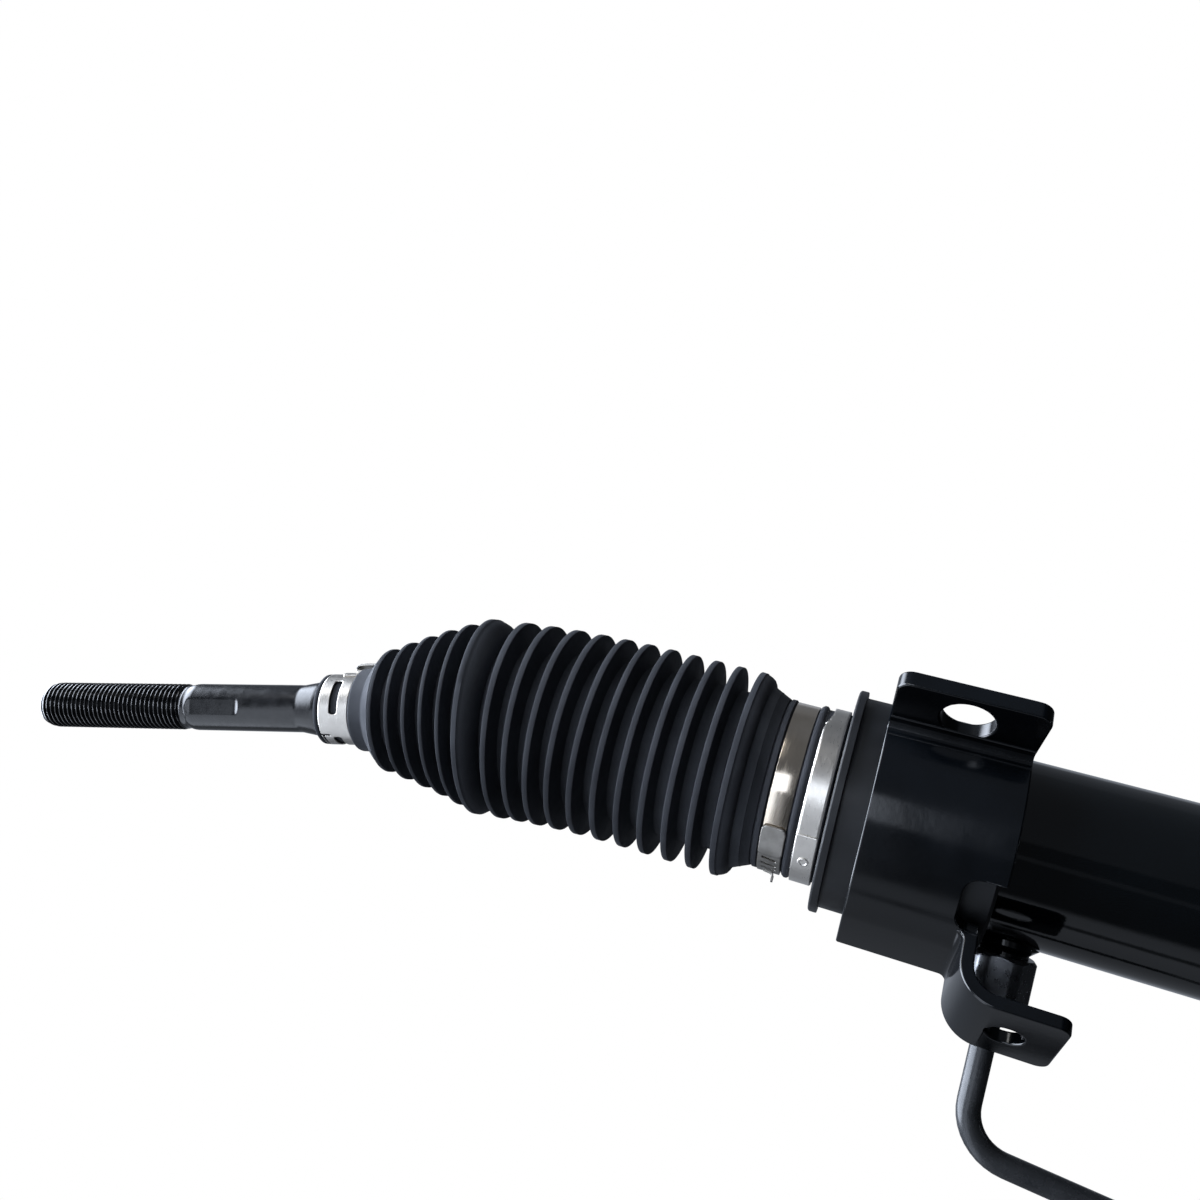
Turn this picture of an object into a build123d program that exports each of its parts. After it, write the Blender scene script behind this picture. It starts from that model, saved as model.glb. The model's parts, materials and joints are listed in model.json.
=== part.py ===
from build123d import *
from math import acos, asin, atan2, cos, degrees, pi, radians, sin, sqrt, tan
import os

# Hydraulic rack-and-pinion steering rack. Millimetres. X runs along the rack, +Z is up and the
# bolt lugs point to -Y. The origin is the centre of the bracket's bolt hole, on the lug's underside.

# ---- Driving dimensions -------------------------------------------------------------------

# where the rack's axis lies, seen from the bracket's bolt hole
rack_y = 39.4
rack_z = -6.0

# rack bar, and the fit that it and its bushes run with
rack_radius = 12.5
rack_fit = 0.05

# what lies round the rack at the cylinder's end: rod seal, plug's nose with an O-ring groove, tube
seal_section = 3.45
nose_wall = 1.35
groove_depth = 1.6
nose_fit = 0.1
tube_wall = 3.45
seal_bore = rack_radius + rack_fit + seal_section
nose_radius = seal_bore + nose_wall + groove_depth
tube_bore = nose_radius + nose_fit
tube_radius = tube_bore + tube_wall

# cylinder tube and its end
tube_start = -14.0
tube_end = 328.0
collar_wall = 5.1
collar_end = 15.2
flange_step = 1.6
flange_width = 2.3
spigot_step = 1.5
left_shoulder = -25.5
collar_radius = tube_radius + collar_wall
flange_radius = collar_radius + flange_step

# snouts that carry the big ends of the bellows, the same at both ends
bush_wall = 3.0
bush_length = 16.0
bush_step = 2.0
stop_depth = 9.5
stop_step = 2.1
snout_wall = 1.8
snout_length = 25.5
snout_chamfer = 0.6
bush_radius = rack_radius + bush_wall
stop_radius = bush_radius + stop_step
snout_radius = stop_radius + snout_wall

# bracket: top lug, saddle and lower lug
plate = 4.2
bracket_left = -17.0
bracket_right = 16.4
lug_right = 17.6
lug_front = -8.6
lug_corner = 3.4
lug_root_bend = 1.4
lug_hole_radius = 6.2
saddle_tail = 13.5
lower_plate = 3.2
lower_left = 10.0
lower_right = 35.2
lower_front = -10.0
lower_back = 15.0
lower_bottom = -45.7
lower_hole_x = 23.6
lower_hole_y = 3.4
lower_hole_radius = 4.25
lower_bend = 9.2
lower_corner = 3.0
notch_reach = 15.2
notch_upper = 7.2
notch_gap = 0.03
notch_corner = 3.6
notch_turn = 60.0
relief = 3.0
leg_root = 1.8

# pressure ports and pipes
stub_radius = 5.8
stub_length = 10.5
weld_radius = 7.8
weld_height = 1.8
scallop_gap = 0.65
port_bore = 3.0
nut_flats = 15.0
nut_radius = 7.95
nut_lift = 2.7
nut_length = 14.0
nut_chamfer = 0.8
nut_turn = 9.0
pipe_radius = 3.0
pipe_bore = 2.1
pipe_bend = 12.0
left_port_x = 22.6
left_port_tilt = 34.0
right_port_x = 205.0
right_port_tilt = 120.0

# piston, bulkhead and inner joints
piston_x = 122.0
piston_width = 14.0
bulkhead_x = 225.0
bulkhead_width = 20.0
left_ball_out = 89.0
right_ball_out = 109.0
right_shoulder = 416.5
ball_radius = 13.5
ball_fit = 0.05
ball_seat_wall = 2.0
ball_seat_edge = 105.0
socket_radius = 17.0
socket_back = 22.0
socket_front = 11.0
socket_chamfer = 1.5
socket_cone = 3.0
socket_cone_drop = 2.6
socket_mouth_radius = 14.2
socket_flats = 30.8
socket_flat_start = 2.0
socket_flat_width = 9.0
socket_stud = 8.0
socket_stud_length = 20.0
lock_washer = 1.2
lock_washer_rim = 2.0

# tie rod, measured outboard from the ball's centre
rod_radius = 7.0
rod_neck_radius = 6.4
rod_seat_radius = 7.9
rod_neck_end = 28.0
rod_neck_flare = 3.0
rod_seat_start = 50.0
rod_seat_end = 66.0
rod_seat_flare = 3.0
rod_seat_rise = 0.25
rod_swell_end = 73.0
run_out_width = 1.5
run_out_step = 0.15
run_out_bevel = 1.0
thread_start = 107.0
thread_radius = 6.93
rod_end = 157.5
tip_length = 3.5
tip_face = 1.0
tip_bevel = 2.2
tip_radius = 1.93
rod_droop = 12.43
rod_sweep = 6.15
pad_start = 89.0
pad_end = 104.5
pad_flats = 13.0
pad_turn = 35.4

# bellows and clamps, measured outboard from the shoulder
cuff_wall = 2.2
cone_start = 16.8
cone_rise = 1.4
band_start = 0.7
band_width = 7.0
band_wall = 1.6
clamp_start = 8.8
clamp_width = 7.0
clamp_wall = 0.6
lock_inset = 0.3
lock_height = 1.3
lock_sink = 0.3
lock_reach = 7.0
fold_depth = 5.5
fold_wall = 2.4
crest_half = 0.8
cone_land = 3.3
first_fold = 25.6
last_fold = 2.4
straight_folds = 11
bent_folds = 6
bent_fold_start = 11.0
bent_fold_pitch = 5.8
small_fold_drop = 9.8
valley_shrink = 0.9
wide_fold_foot = 2.0
wide_fold_start = 5.6
wide_fold_step = 1.6
wide_fold_rise = 2.0
cavity_step_out = 0.5
boot_wall = 1.5
cavity_back = 6.0
cavity_step = 2.0
cavity_neck_radius = 12.2
neck_wall_length = 6.0
boot_neck_wall = 1.95
seat_slack = 0.25
boot_neck_start = 48.0
boot_neck_radius = 12.05
boot_neck_ramp = 3.0
boot_neck_rise = 0.8
boot_seat_ramp = 0.8
boot_seat_start = 53.0
boot_seat_end = 64.8
boot_seat_radius = 9.55
soft_gap = 0.3
clip_start = 54.0
clip_end = 63.0
clip_radius = 10.3
clip_wall = 0.45
ear_inset = 0.75
ear_length = 5.5
ear_height = 2.4
ear_sink = 0.2
ear_half_width = 2.2
cuff_radius = snout_radius + cuff_wall
cone_radius = cuff_radius + cone_rise
band_radius = cuff_radius + band_wall
clamp_radius = cuff_radius + clamp_wall
boot_cavity = snout_radius + cavity_step_out
valley_radius = boot_cavity + fold_wall
fold_radius = valley_radius + fold_depth

# pinion and rack teeth
pinion_x = 368.0
gear_module = 1.8
pinion_teeth = 8
shift_share = 0.55
pressure_angle = 20.0
helix_angle = 12.0
pinion_face = 26.0
backlash = 0.08
flat_depth = 4.0
tooth_flat = rack_radius - flat_depth
rack_teeth_left = 62.0
rack_teeth_right = 82.0

# housings
barrel_radius = 25.5
sleeve_wall = 5.0
sleeve_radius = tube_radius + sleeve_wall
sleeve_start = 316.0
passage_gap = 2.5
passage_radius = rack_radius + passage_gap
tower_radius = 23.0
tower_bottom = -36.0
tower_top = 28.0
valve_top = 84.0
valve_bore = 18.0
valve_radius = 23.5
yoke_radius = 14.0
yoke_tower_radius = 19.0
yoke_tower_end = 47.0
ear_spacing = 68.0
ear_y = 0.0
ear_radius = 14.0
ear_half_height = 12.0
ear_bush_radius = 10.5
ear_sleeve_radius = 8.2
ear_bolt_radius = 6.2

# how far a cut runs past the face that it opens
overrun = 1.0

# ---- Shared frames and small builders ------------------------------------------------------

along = Plane(origin=(0, rack_y, rack_z), x_dir=(1, 0, 0), z_dir=(0, -1, 0))


def across(x):
    """Plane square to the rack at x, with +Y to its right and +Z up."""
    return Plane(origin=(x, rack_y, rack_z), x_dir=(0, 1, 0), z_dir=(1, 0, 0))


def outboard(side):
    """Plane at one shoulder whose x runs outboard: side is -1 on the left and 1 on the right."""
    shoulder = left_shoulder if side < 0 else right_shoulder
    return Plane(origin=(shoulder, rack_y, rack_z), x_dir=(side, 0, 0), z_dir=(0, -side, 0))


def ball_reach(side):
    """Distance from the shoulder out to the inner joint's ball, with the rack at rest."""
    return left_ball_out if side < 0 else right_ball_out


def ball_centre(side):
    """Centre of one inner ball joint."""
    return outboard(side).from_local_coords(Vector(ball_reach(side), 0, 0))


def rod_plane(side):
    """Plane at one ball whose x runs out along the drooping tie rod."""
    droop = radians(rod_droop)
    sweep = radians(rod_sweep)
    out = Vector(side * cos(droop) * cos(sweep), sin(sweep), -sin(droop) * cos(sweep))
    flat = out.cross(Vector(0, 0, 1))
    return Plane(origin=ball_centre(side), x_dir=out, z_dir=flat)


def turn(points, plane=along, mode=Mode.ADD):
    """Turned form about the plane's x axis, from its half outline of (x, radius) points."""
    with BuildSketch(plane) as outline:
        with BuildLine():
            Polyline(*points, close=True)
        make_face()
    revolve(outline.sketch, axis=Axis(plane.origin, plane.x_dir), mode=mode)


def ring(start, end, outer, inner, plane=along, mode=Mode.ADD):
    """Plain ring about the plane's x axis, from start to end."""
    turn([(start, inner), (end, inner), (end, outer), (start, outer)], plane, mode)


def save(piece, name):
    """Label a finished piece and write its STEP file."""
    piece.part.label = name
    export_step(piece.part, f"parts/{name}.step")


os.makedirs("parts", exist_ok=True)
side_names = {-1: "left", 1: "right"}

# ---- Cylinder tube -------------------------------------------------------------------------


def port_plane(port_x, tilt):
    """Plane on the rack's axis whose z leaves the tube at tilt degrees from straight down."""
    lean = radians(tilt)
    return Plane(origin=(port_x, rack_y, rack_z), x_dir=(1, 0, 0), z_dir=(0, sin(lean), -cos(lean)))


left_port = port_plane(left_port_x, left_port_tilt)
right_port = port_plane(right_port_x, right_port_tilt)

with BuildPart() as cylinder_tube:
    ring(tube_start, tube_end, tube_radius, tube_bore)
    for port in (left_port, right_port):
        with BuildSketch(port):
            Circle(port_bore)
        extrude(amount=tube_radius + overrun, mode=Mode.SUBTRACT)
save(cylinder_tube, "cylinder_tube")

# ---- End collar, welded round the tube's end ------------------------------------------------

plug_spigot = tube_radius + spigot_step
scallop_radius = nut_radius + scallop_gap
collar_start = left_shoulder + flange_width
collar_chamfer = 0.8

with BuildPart() as end_collar:
    turn([
        (collar_start, plug_spigot),
        (tube_start, plug_spigot),
        (tube_start, tube_radius),
        (collar_end, tube_radius),
        (collar_end, collar_radius - collar_chamfer),
        (collar_end - collar_chamfer, collar_radius),
        (collar_start, collar_radius),
    ])
    # scalloped round the port's nut
    with BuildSketch(left_port):
        Circle(scallop_radius)
    extrude(amount=collar_radius + overrun, mode=Mode.SUBTRACT)
save(end_collar, "end_collar")

# ---- End plug: flange, snout for the bellows, and the nose inside the tube ------------------

web_start = -bush_step
web_end = -8.0
seal_length = 10.0
retainer_width = 2.0
nose_end = -28.0
nose_groove = -23.0
o_ring_groove = 2.4
o_ring_gap = 0.2
flange_chamfer = 0.4
spigot_end = -(tube_start - left_shoulder)
stop_face = snout_length - stop_depth
web_gap = 0.4
web_radius = rack_radius + web_gap
groove_floor = nose_radius - groove_depth

with BuildPart() as left_end_plug:
    turn([
        (snout_length, stop_radius),
        (snout_length, snout_radius - snout_chamfer),
        (snout_length - snout_chamfer, snout_radius),
        (0, snout_radius),
        (0, flange_radius - flange_chamfer),
        (-flange_chamfer, flange_radius),
        (-flange_width, flange_radius),
        (-flange_width, plug_spigot),
        (spigot_end, plug_spigot),
        (spigot_end, nose_radius),
        (nose_groove + o_ring_groove, nose_radius),
        (nose_groove + o_ring_groove, groove_floor),
        (nose_groove, groove_floor),
        (nose_groove, nose_radius),
        (nose_end, nose_radius),
        (nose_end, seal_bore),
        (web_end, seal_bore),
        (web_end, web_radius),
        (web_start, web_radius),
        (web_start, bush_radius),
        (stop_face, bush_radius),
        (stop_face, stop_radius),
    ], outboard(-1))
save(left_end_plug, "left_end_plug")

with BuildPart() as plug_o_ring:
    o_ring_start = nose_groove + o_ring_gap
    o_ring_end = nose_groove + o_ring_groove - o_ring_gap
    ring(o_ring_start, o_ring_end, nose_radius, groove_floor, outboard(-1))
save(plug_o_ring, "plug_o_ring")

# ---- Rod seals, retainer and rack bush ------------------------------------------------------

# shares of the seal's section taken by its lip, by the lip's root and by its rim
lip_share = 0.29
root_share = 0.09
rim_share = 0.35


def seal_outline(start, end, lip_side):
    """Half outline of a rod seal with a hollow between its lip and its rim."""
    inner = rack_radius + rack_fit
    hollow = start if lip_side < 0 else end
    deep = (start + end) / 2
    section = seal_bore - inner
    rim = seal_bore - rim_share * section
    lip = inner + lip_share * section
    root = lip + root_share * section
    face = end if lip_side < 0 else start
    return [
        (face, inner),
        (hollow, inner),
        (hollow, lip),
        (deep, root),
        (deep, rim),
        (hollow, rim),
        (hollow, seal_bore),
        (face, seal_bore),
    ]


with BuildPart() as left_rod_seal:
    turn(seal_outline(web_end - seal_length, web_end, -1), outboard(-1))
save(left_rod_seal, "left_rod_seal")

with BuildPart() as seal_retainer:
    retainer_end = web_end - seal_length
    ring(retainer_end - retainer_width, retainer_end, seal_bore, web_radius, outboard(-1))
save(seal_retainer, "seal_retainer")

with BuildPart() as rack_bush:
    ring(web_start, web_start + bush_length, bush_radius, rack_radius + rack_fit, outboard(-1))
save(rack_bush, "rack_bush")

# ---- Inner bulkhead, which closes the cylinder's other end -----------------------------------

with BuildPart() as inner_bulkhead:
    step = bulkhead_x + seal_length
    back = bulkhead_x + bulkhead_width
    turn([
        (bulkhead_x, seal_bore),
        (bulkhead_x, nose_radius),
        (back, nose_radius),
        (back, web_radius),
        (step, web_radius),
        (step, seal_bore),
    ])
save(inner_bulkhead, "inner_bulkhead")

with BuildPart() as bulkhead_seal:
    turn(seal_outline(bulkhead_x, bulkhead_x + seal_length, -1))
save(bulkhead_seal, "bulkhead_seal")

# ---- Mounting bracket: one bent plate with a top lug, a saddle and a lower lug ----------------

saddle_radius = collar_radius + plate
notch_left = left_port_x - notch_reach
leg_front_angle = acos(-lower_front / saddle_radius)
notch_lower = notch_gap - saddle_radius * sin(leg_front_angle - radians(notch_turn))
under_saddle = rack_z - saddle_radius - overrun


def saddle_face():
    """Side view of the top lug and the saddle, in the plane square to the rack."""
    lug_under = -rack_z
    lug_over = lug_under + plate
    outer_start = degrees(atan2(lug_under, -sqrt(saddle_radius**2 - lug_under**2)))
    inner_start = degrees(atan2(lug_over, -sqrt(collar_radius**2 - lug_over**2)))
    with BuildSketch(across(bracket_left)) as side_view:
        with BuildLine():
            outer = CenterArc((0, 0), saddle_radius, outer_start, 270 - outer_start)
            inner = CenterArc((0, 0), collar_radius, inner_start, 270 - inner_start)
            front = lug_front - rack_y
            Polyline(outer @ 0, (front, lug_under), (front, lug_over), inner @ 0)
            Polyline(outer @ 1, (saddle_tail, -saddle_radius), (saddle_tail, -collar_radius), inner @ 1)
        make_face()
        fillet(side_view.vertices().sort_by_distance(outer @ 0)[0], radius=lug_root_bend)
    return side_view.sketch


def lower_lug_face():
    """Front view of the lower lug: down from the saddle's edge, round a bend and along to +X."""
    leg_right = lower_left + lower_plate
    foot_top = lower_bottom + lower_plate
    outer_bend = (lower_left, lower_bottom)
    inner_bend = (leg_right, foot_top)
    front_view = Plane(origin=(0, rack_y + lower_back, rack_z), x_dir=(1, 0, 0), z_dir=(0, -1, 0))
    with BuildSketch(front_view) as view:
        with BuildLine():
            Polyline(
                (lower_left, -collar_radius),
                (leg_right, -collar_radius),
                inner_bend,
                (lower_right, foot_top),
                (lower_right, lower_bottom),
                outer_bend,
                close=True,
            )
        make_face()
        fillet(view.vertices().sort_by_distance(inner_bend)[0], radius=lower_bend - lower_plate)
        fillet(view.vertices().sort_by_distance(outer_bend)[0], radius=lower_bend)
    return view.sketch


with BuildPart() as mount_bracket:
    extrude(saddle_face(), amount=lug_right - bracket_left)
    # the plate's right edge leans in from the lug's front to the saddle
    with BuildSketch(Plane.XY.offset(under_saddle)):
        with BuildLine():
            Polyline(
                (lug_right, lug_front),
                (lug_right + overrun, lug_front),
                (lug_right + overrun, rack_y + saddle_tail),
                (bracket_right, rack_y + saddle_tail),
                (bracket_right, rack_y - saddle_radius),
                close=True,
            )
        make_face()
    extrude(amount=plate + overrun - under_saddle, mode=Mode.SUBTRACT)
    lug_edges = mount_bracket.edges().filter_by(Axis.Z).group_by(Axis.Y)[0]
    fillet(lug_edges, radius=lug_corner)
    # rounded notch in the saddle, which leaves room for the port's nut
    lean = radians(notch_turn)
    notch = Plane(origin=(notch_left, rack_y, rack_z), x_dir=(1, 0, 0), z_dir=(0, -cos(lean), -sin(lean)))
    with BuildSketch(notch) as notch_view:
        with Locations((0, notch_lower)):
            Rectangle(lug_right, notch_upper - notch_lower, align=(Align.MIN, Align.MIN))
        fillet(notch_view.vertices().group_by(Axis.X)[0], radius=notch_corner)
    extrude(amount=saddle_radius + overrun, mode=Mode.SUBTRACT)
    # beyond the lower lug, the saddle's underside is cut away
    with BuildSketch(Plane.XY.offset(under_saddle)):
        with Locations((lower_left + lower_plate, rack_y + lower_front - relief)):
            Rectangle(lug_right, saddle_tail - lower_front + relief + overrun, align=(Align.MIN, Align.MIN))
    extrude(amount=plate + relief, mode=Mode.SUBTRACT)
    extrude(lower_lug_face(), amount=lower_back - lower_front)
    foot_edges = mount_bracket.edges().filter_by(Axis.Z).group_by(Axis.X)[-1]
    fillet(foot_edges, radius=lower_corner)
    # the leg's root, where it leaves the saddle
    arcs = mount_bracket.edges().filter_by(GeomType.CIRCLE)
    root_arcs = arcs.filter_by_position(Axis.X, lower_left, lower_left, inclusive=(True, True))
    fillet(root_arcs.sort_by(Edge.radius)[-1], radius=leg_root)
    with BuildSketch(Plane.XY.offset(-overrun)):
        Circle(lug_hole_radius)
    extrude(amount=plate + 2 * overrun, mode=Mode.SUBTRACT)
    with BuildSketch(Plane.XY.offset(rack_z + lower_bottom - overrun)):
        with Locations((lower_hole_x, rack_y + lower_hole_y)):
            Circle(lower_hole_radius)
    extrude(amount=lower_plate + 2 * overrun, mode=Mode.SUBTRACT)
save(mount_bracket, "mount_bracket")

# ---- Pressure ports: a welded threaded stub, a union nut and a bent steel pipe on each ---------


def port_axis(port):
    """Plane on a port whose x runs out along the port."""
    return Plane(origin=port.origin, x_dir=port.z_dir, z_dir=port.x_dir)


stub_end = tube_radius + stub_length
nut_seat = tube_radius + nut_lift
nut_end = nut_seat + nut_length

for name, port in (("left", left_port), ("right", right_port)):
    with BuildPart() as port_boss:
        turn([
            (tube_bore, port_bore),
            (tube_bore, weld_radius),
            (tube_radius, weld_radius),
            (tube_radius + weld_height, stub_radius),
            (stub_end, stub_radius),
            (stub_end, port_bore),
        ], port_axis(port))
        half = weld_radius + overrun
        ring(port.origin.X - half, port.origin.X + half, tube_radius, 0, along, Mode.SUBTRACT)
    save(port_boss, f"{name}_port_boss")

    # hexagon with its corners turned round
    with BuildPart() as tube_nut:
        with BuildSketch(port.offset(nut_seat)):
            RegularPolygon(nut_flats / 2, 6, major_radius=False, rotation=nut_turn)
        extrude(amount=nut_length)
        turn([
            (nut_seat, 0),
            (nut_seat, nut_radius - nut_chamfer),
            (nut_seat + nut_chamfer, nut_radius),
            (nut_end - nut_chamfer, nut_radius),
            (nut_end, nut_radius - nut_chamfer),
            (nut_end, 0),
        ], port_axis(port), Mode.INTERSECT)
        ring(nut_seat - overrun, stub_end, stub_radius, 0, port_axis(port), Mode.SUBTRACT)
        ring(stub_end - overrun, nut_end + overrun, pipe_radius, 0, port_axis(port), Mode.SUBTRACT)
    save(tube_nut, f"{name}_tube_nut")


def on_port(port, distance):
    """Point on a port's axis, at a distance from the rack's axis."""
    return port.from_local_coords(Vector(0, 0, distance))


# the valve's two pressure ports, on the back of the valve housing
gear_radius = gear_module * pinion_teeth / 2
tooth_tip_gap = gear_radius + (shift_share - 1) * gear_module
pinion_y = rack_y + tooth_flat + tooth_tip_gap
valve_port_back = 33.0
valve_port_entry = 6.0
low_valve_port = 42.0
high_valve_port = 62.0

# corners of the pipes' runs: along the rack, then behind and above its axis
left_drop = 73.3
left_elbow_x = 70.0
left_elbow_back = 44.6
left_elbow_height = -63.5
left_run_start = 118.0
left_run_end = 312.0
left_run_back = 32.0
left_run_height = -41.0
left_climb_x = 352.0
left_climb_back = 62.0
left_climb_height = -20.0
right_drop = 52.0
right_run_start = 240.0
right_run_end = 330.0
right_run_back = 47.0
right_run_height = 27.0
pipe_back = 54.0


def by_rack(x, back, height):
    """Point at x, so far behind and above the rack's axis."""
    return Vector(x, rack_y + back, rack_z + height)


def valve_entry(height):
    """Last two points of a pipe: behind the valve housing, then in its port."""
    behind = Vector(pinion_x, pinion_y + pipe_back, rack_z + height)
    inside = Vector(pinion_x, pinion_y + valve_port_back - valve_port_entry, rack_z + height)
    return [behind, inside]


left_route = [
    on_port(left_port, stub_end),
    on_port(left_port, left_drop),
    by_rack(left_elbow_x, left_elbow_back, left_elbow_height),
    by_rack(left_run_start, left_run_back, left_run_height),
    by_rack(left_run_end, left_run_back, left_run_height),
    by_rack(left_climb_x, left_climb_back, left_climb_height),
    *valve_entry(low_valve_port),
]
right_route = [
    on_port(right_port, stub_end),
    on_port(right_port, right_drop),
    by_rack(right_run_start, right_run_back, right_run_height),
    by_rack(right_run_end, right_run_back, right_run_height),
    *valve_entry(high_valve_port),
]

for name, route in (("left", left_route), ("right", right_route)):
    with BuildPart() as pressure_pipe:
        with BuildLine() as run:
            FilletPolyline(*route, radius=pipe_bend)
        with BuildSketch(Plane(origin=run.line @ 0, z_dir=run.line % 0)):
            Circle(pipe_radius)
            Circle(pipe_bore, mode=Mode.SUBTRACT)
        sweep()
    save(pressure_pipe, f"{name}_pressure_pipe")

# ---- Pinion housing: a casting round the rack, the pinion and the yoke ------------------------

sleeve_end = 345.0
sleeve_chamfer = 1.5
sleeve_taper = 4.0
shoulder_taper = 6.0
shoulder_radius = 24.5
end_gap = 2.0
end_bore = rack_radius + end_gap
end_web = 12.0
flank_inset = 1.0
flank_drop = 6.0
flank_reach = 10.0
bolt_flange_width = 18.0
ear_web = 21.0
ear_web_inset = 3.0
ear_sleeve_stand = 1.5
bearing_radius = 15.0
bearing_width = 9.0
bearing_top = -14.5
gear_pocket = 11.2
cap_radius = 17.0
cap_depth = 9.0
yoke_start = 3.0
tower_flange = 13.0
bolt_spacing = 64.0
bolt_radius = 4.0
bolt_depth = 16.0
upper_bush_bottom = 21.0
upper_bush_top = 28.0
upper_bush_radius = 14.0

tower_plane = Plane(origin=(pinion_x, pinion_y, rack_z), x_dir=(1, 0, 0), z_dir=(0, 0, 1))
yoke_plane = Plane(origin=(pinion_x, rack_y, rack_z), x_dir=(1, 0, 0), z_dir=(0, -1, 0))


def ear_places():
    """Centres of the two bushed ears, either side of the yoke's tower."""
    return [(pinion_x - ear_spacing / 2, ear_y), (pinion_x + ear_spacing / 2, ear_y)]


with BuildPart() as pinion_housing:
    # barrel, from the tube's sleeve to the right snout
    turn([
        (sleeve_start, end_bore),
        (sleeve_start, sleeve_radius - sleeve_chamfer),
        (sleeve_start + sleeve_chamfer, sleeve_radius),
        (sleeve_end, sleeve_radius),
        (sleeve_end + sleeve_taper, barrel_radius),
        (right_shoulder - shoulder_taper, barrel_radius),
        (right_shoulder, shoulder_radius),
        (right_shoulder, snout_radius),
        (right_shoulder + snout_length - snout_chamfer, snout_radius),
        (right_shoulder + snout_length, snout_radius - snout_chamfer),
        (right_shoulder + snout_length, end_bore),
    ])
    # tower round the pinion, blended into the barrel by straight flanks
    with BuildSketch(tower_plane.offset(tower_bottom)):
        Circle(tower_radius)
    extrude(amount=tower_top - tower_bottom)
    with BuildSketch(tower_plane.offset(flank_drop - barrel_radius)):
        with Locations((0, (rack_y - pinion_y) / 2)):
            Rectangle(2 * (tower_radius - flank_inset), pinion_y - rack_y + 2 * flank_reach)
    extrude(amount=2 * (barrel_radius - flank_drop))
    # flange that the valve housing is bolted to
    with BuildSketch(tower_plane.offset(tower_top - tower_flange)):
        SlotCenterToCenter(bolt_spacing, bolt_flange_width)
    extrude(amount=tower_flange)
    # tower of the rack yoke, to the front
    with BuildSketch(yoke_plane):
        Circle(yoke_tower_radius)
    extrude(amount=yoke_tower_end)
    # ears with their webs to the barrel
    for ear_x, ear_place in ear_places():
        with BuildSketch(Plane.XY.offset(rack_z - ear_half_height)):
            with Locations((ear_x, ear_place)):
                Circle(ear_radius)
        extrude(amount=2 * ear_half_height)
        with BuildSketch(Plane.XY.offset(rack_z - ear_half_height + ear_web_inset)):
            with Locations((ear_x, ear_place)):
                Rectangle(ear_web, rack_y - ear_place, align=(Align.CENTER, Align.MIN))
        extrude(amount=2 * (ear_half_height - ear_web_inset))
    # bores along the rack
    ring(sleeve_start - overrun, tube_end, tube_radius, 0, along, Mode.SUBTRACT)
    ring(tube_end - overrun, right_shoulder - end_web, passage_radius, 0, along, Mode.SUBTRACT)
    ring(right_shoulder - end_web - overrun, right_shoulder, end_bore, 0, along, Mode.SUBTRACT)
    ring(stop_face, snout_length + overrun, stop_radius, 0, outboard(1), Mode.SUBTRACT)
    # bores along the pinion
    with BuildSketch(tower_plane.offset(bearing_top)):
        Circle(gear_pocket)
    extrude(amount=tower_top - bearing_top + overrun, mode=Mode.SUBTRACT)
    with BuildSketch(tower_plane.offset(tower_bottom - overrun)):
        Circle(bearing_radius)
    extrude(amount=bearing_top - tower_bottom + overrun, mode=Mode.SUBTRACT)
    with BuildSketch(tower_plane.offset(tower_bottom - overrun)):
        Circle(cap_radius)
    extrude(amount=cap_depth + overrun, mode=Mode.SUBTRACT)
    with BuildSketch(tower_plane.offset(upper_bush_bottom)):
        Circle(upper_bush_radius)
    extrude(amount=tower_top - upper_bush_bottom + overrun, mode=Mode.SUBTRACT)
    with BuildSketch(tower_plane.offset(tower_top - bolt_depth)):
        with GridLocations(bolt_spacing, 1, 2, 1):
            Circle(bolt_radius)
    extrude(amount=bolt_depth + overrun, mode=Mode.SUBTRACT)
    # bore of the yoke
    with BuildSketch(yoke_plane.offset(yoke_start)):
        Circle(yoke_radius)
    extrude(amount=yoke_tower_end, mode=Mode.SUBTRACT)
    for ear_x, ear_place in ear_places():
        with BuildSketch(Plane.XY.offset(rack_z - ear_half_height - overrun)):
            with Locations((ear_x, ear_place)):
                Circle(ear_bush_radius)
        extrude(amount=2 * (ear_half_height + overrun), mode=Mode.SUBTRACT)
save(pinion_housing, "pinion_housing")

# rubber bushes pressed into the ears, with steel sleeves for the bolts
with BuildPart() as ear_rubbers:
    for ear_x, ear_place in ear_places():
        with BuildSketch(Plane.XY.offset(rack_z - ear_half_height)):
            with Locations((ear_x, ear_place)):
                Circle(ear_bush_radius)
                Circle(ear_sleeve_radius, mode=Mode.SUBTRACT)
        extrude(amount=2 * ear_half_height)
save(ear_rubbers, "ear_rubbers")

with BuildPart() as ear_sleeves:
    for ear_x, ear_place in ear_places():
        with BuildSketch(Plane.XY.offset(rack_z - ear_half_height - ear_sleeve_stand)):
            with Locations((ear_x, ear_place)):
                Circle(ear_sleeve_radius)
                Circle(ear_bolt_radius, mode=Mode.SUBTRACT)
        extrude(amount=2 * (ear_half_height + ear_sleeve_stand))
save(ear_sleeves, "ear_sleeves")

# ---- Rack yoke: guide, liner, spring, plug and lock nut ---------------------------------------

yoke_liner_wall = 0.8
liner_half = 10.0
liner_angle = 38.0
yoke_step = 2.0
yoke_back = 31.0
yoke_pocket_radius = 9.5
yoke_pocket_depth = 10.0
spring_wire = 2.2
spring_turns = 3
spring_gap = 0.4
plug_inner = 33.0
plug_socket_flats = 17.0
plug_socket_depth = 6.0
lock_nut_width = 4.0
lock_nut_flats = 34.0
plug_outer = yoke_tower_end + lock_nut_width

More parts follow.
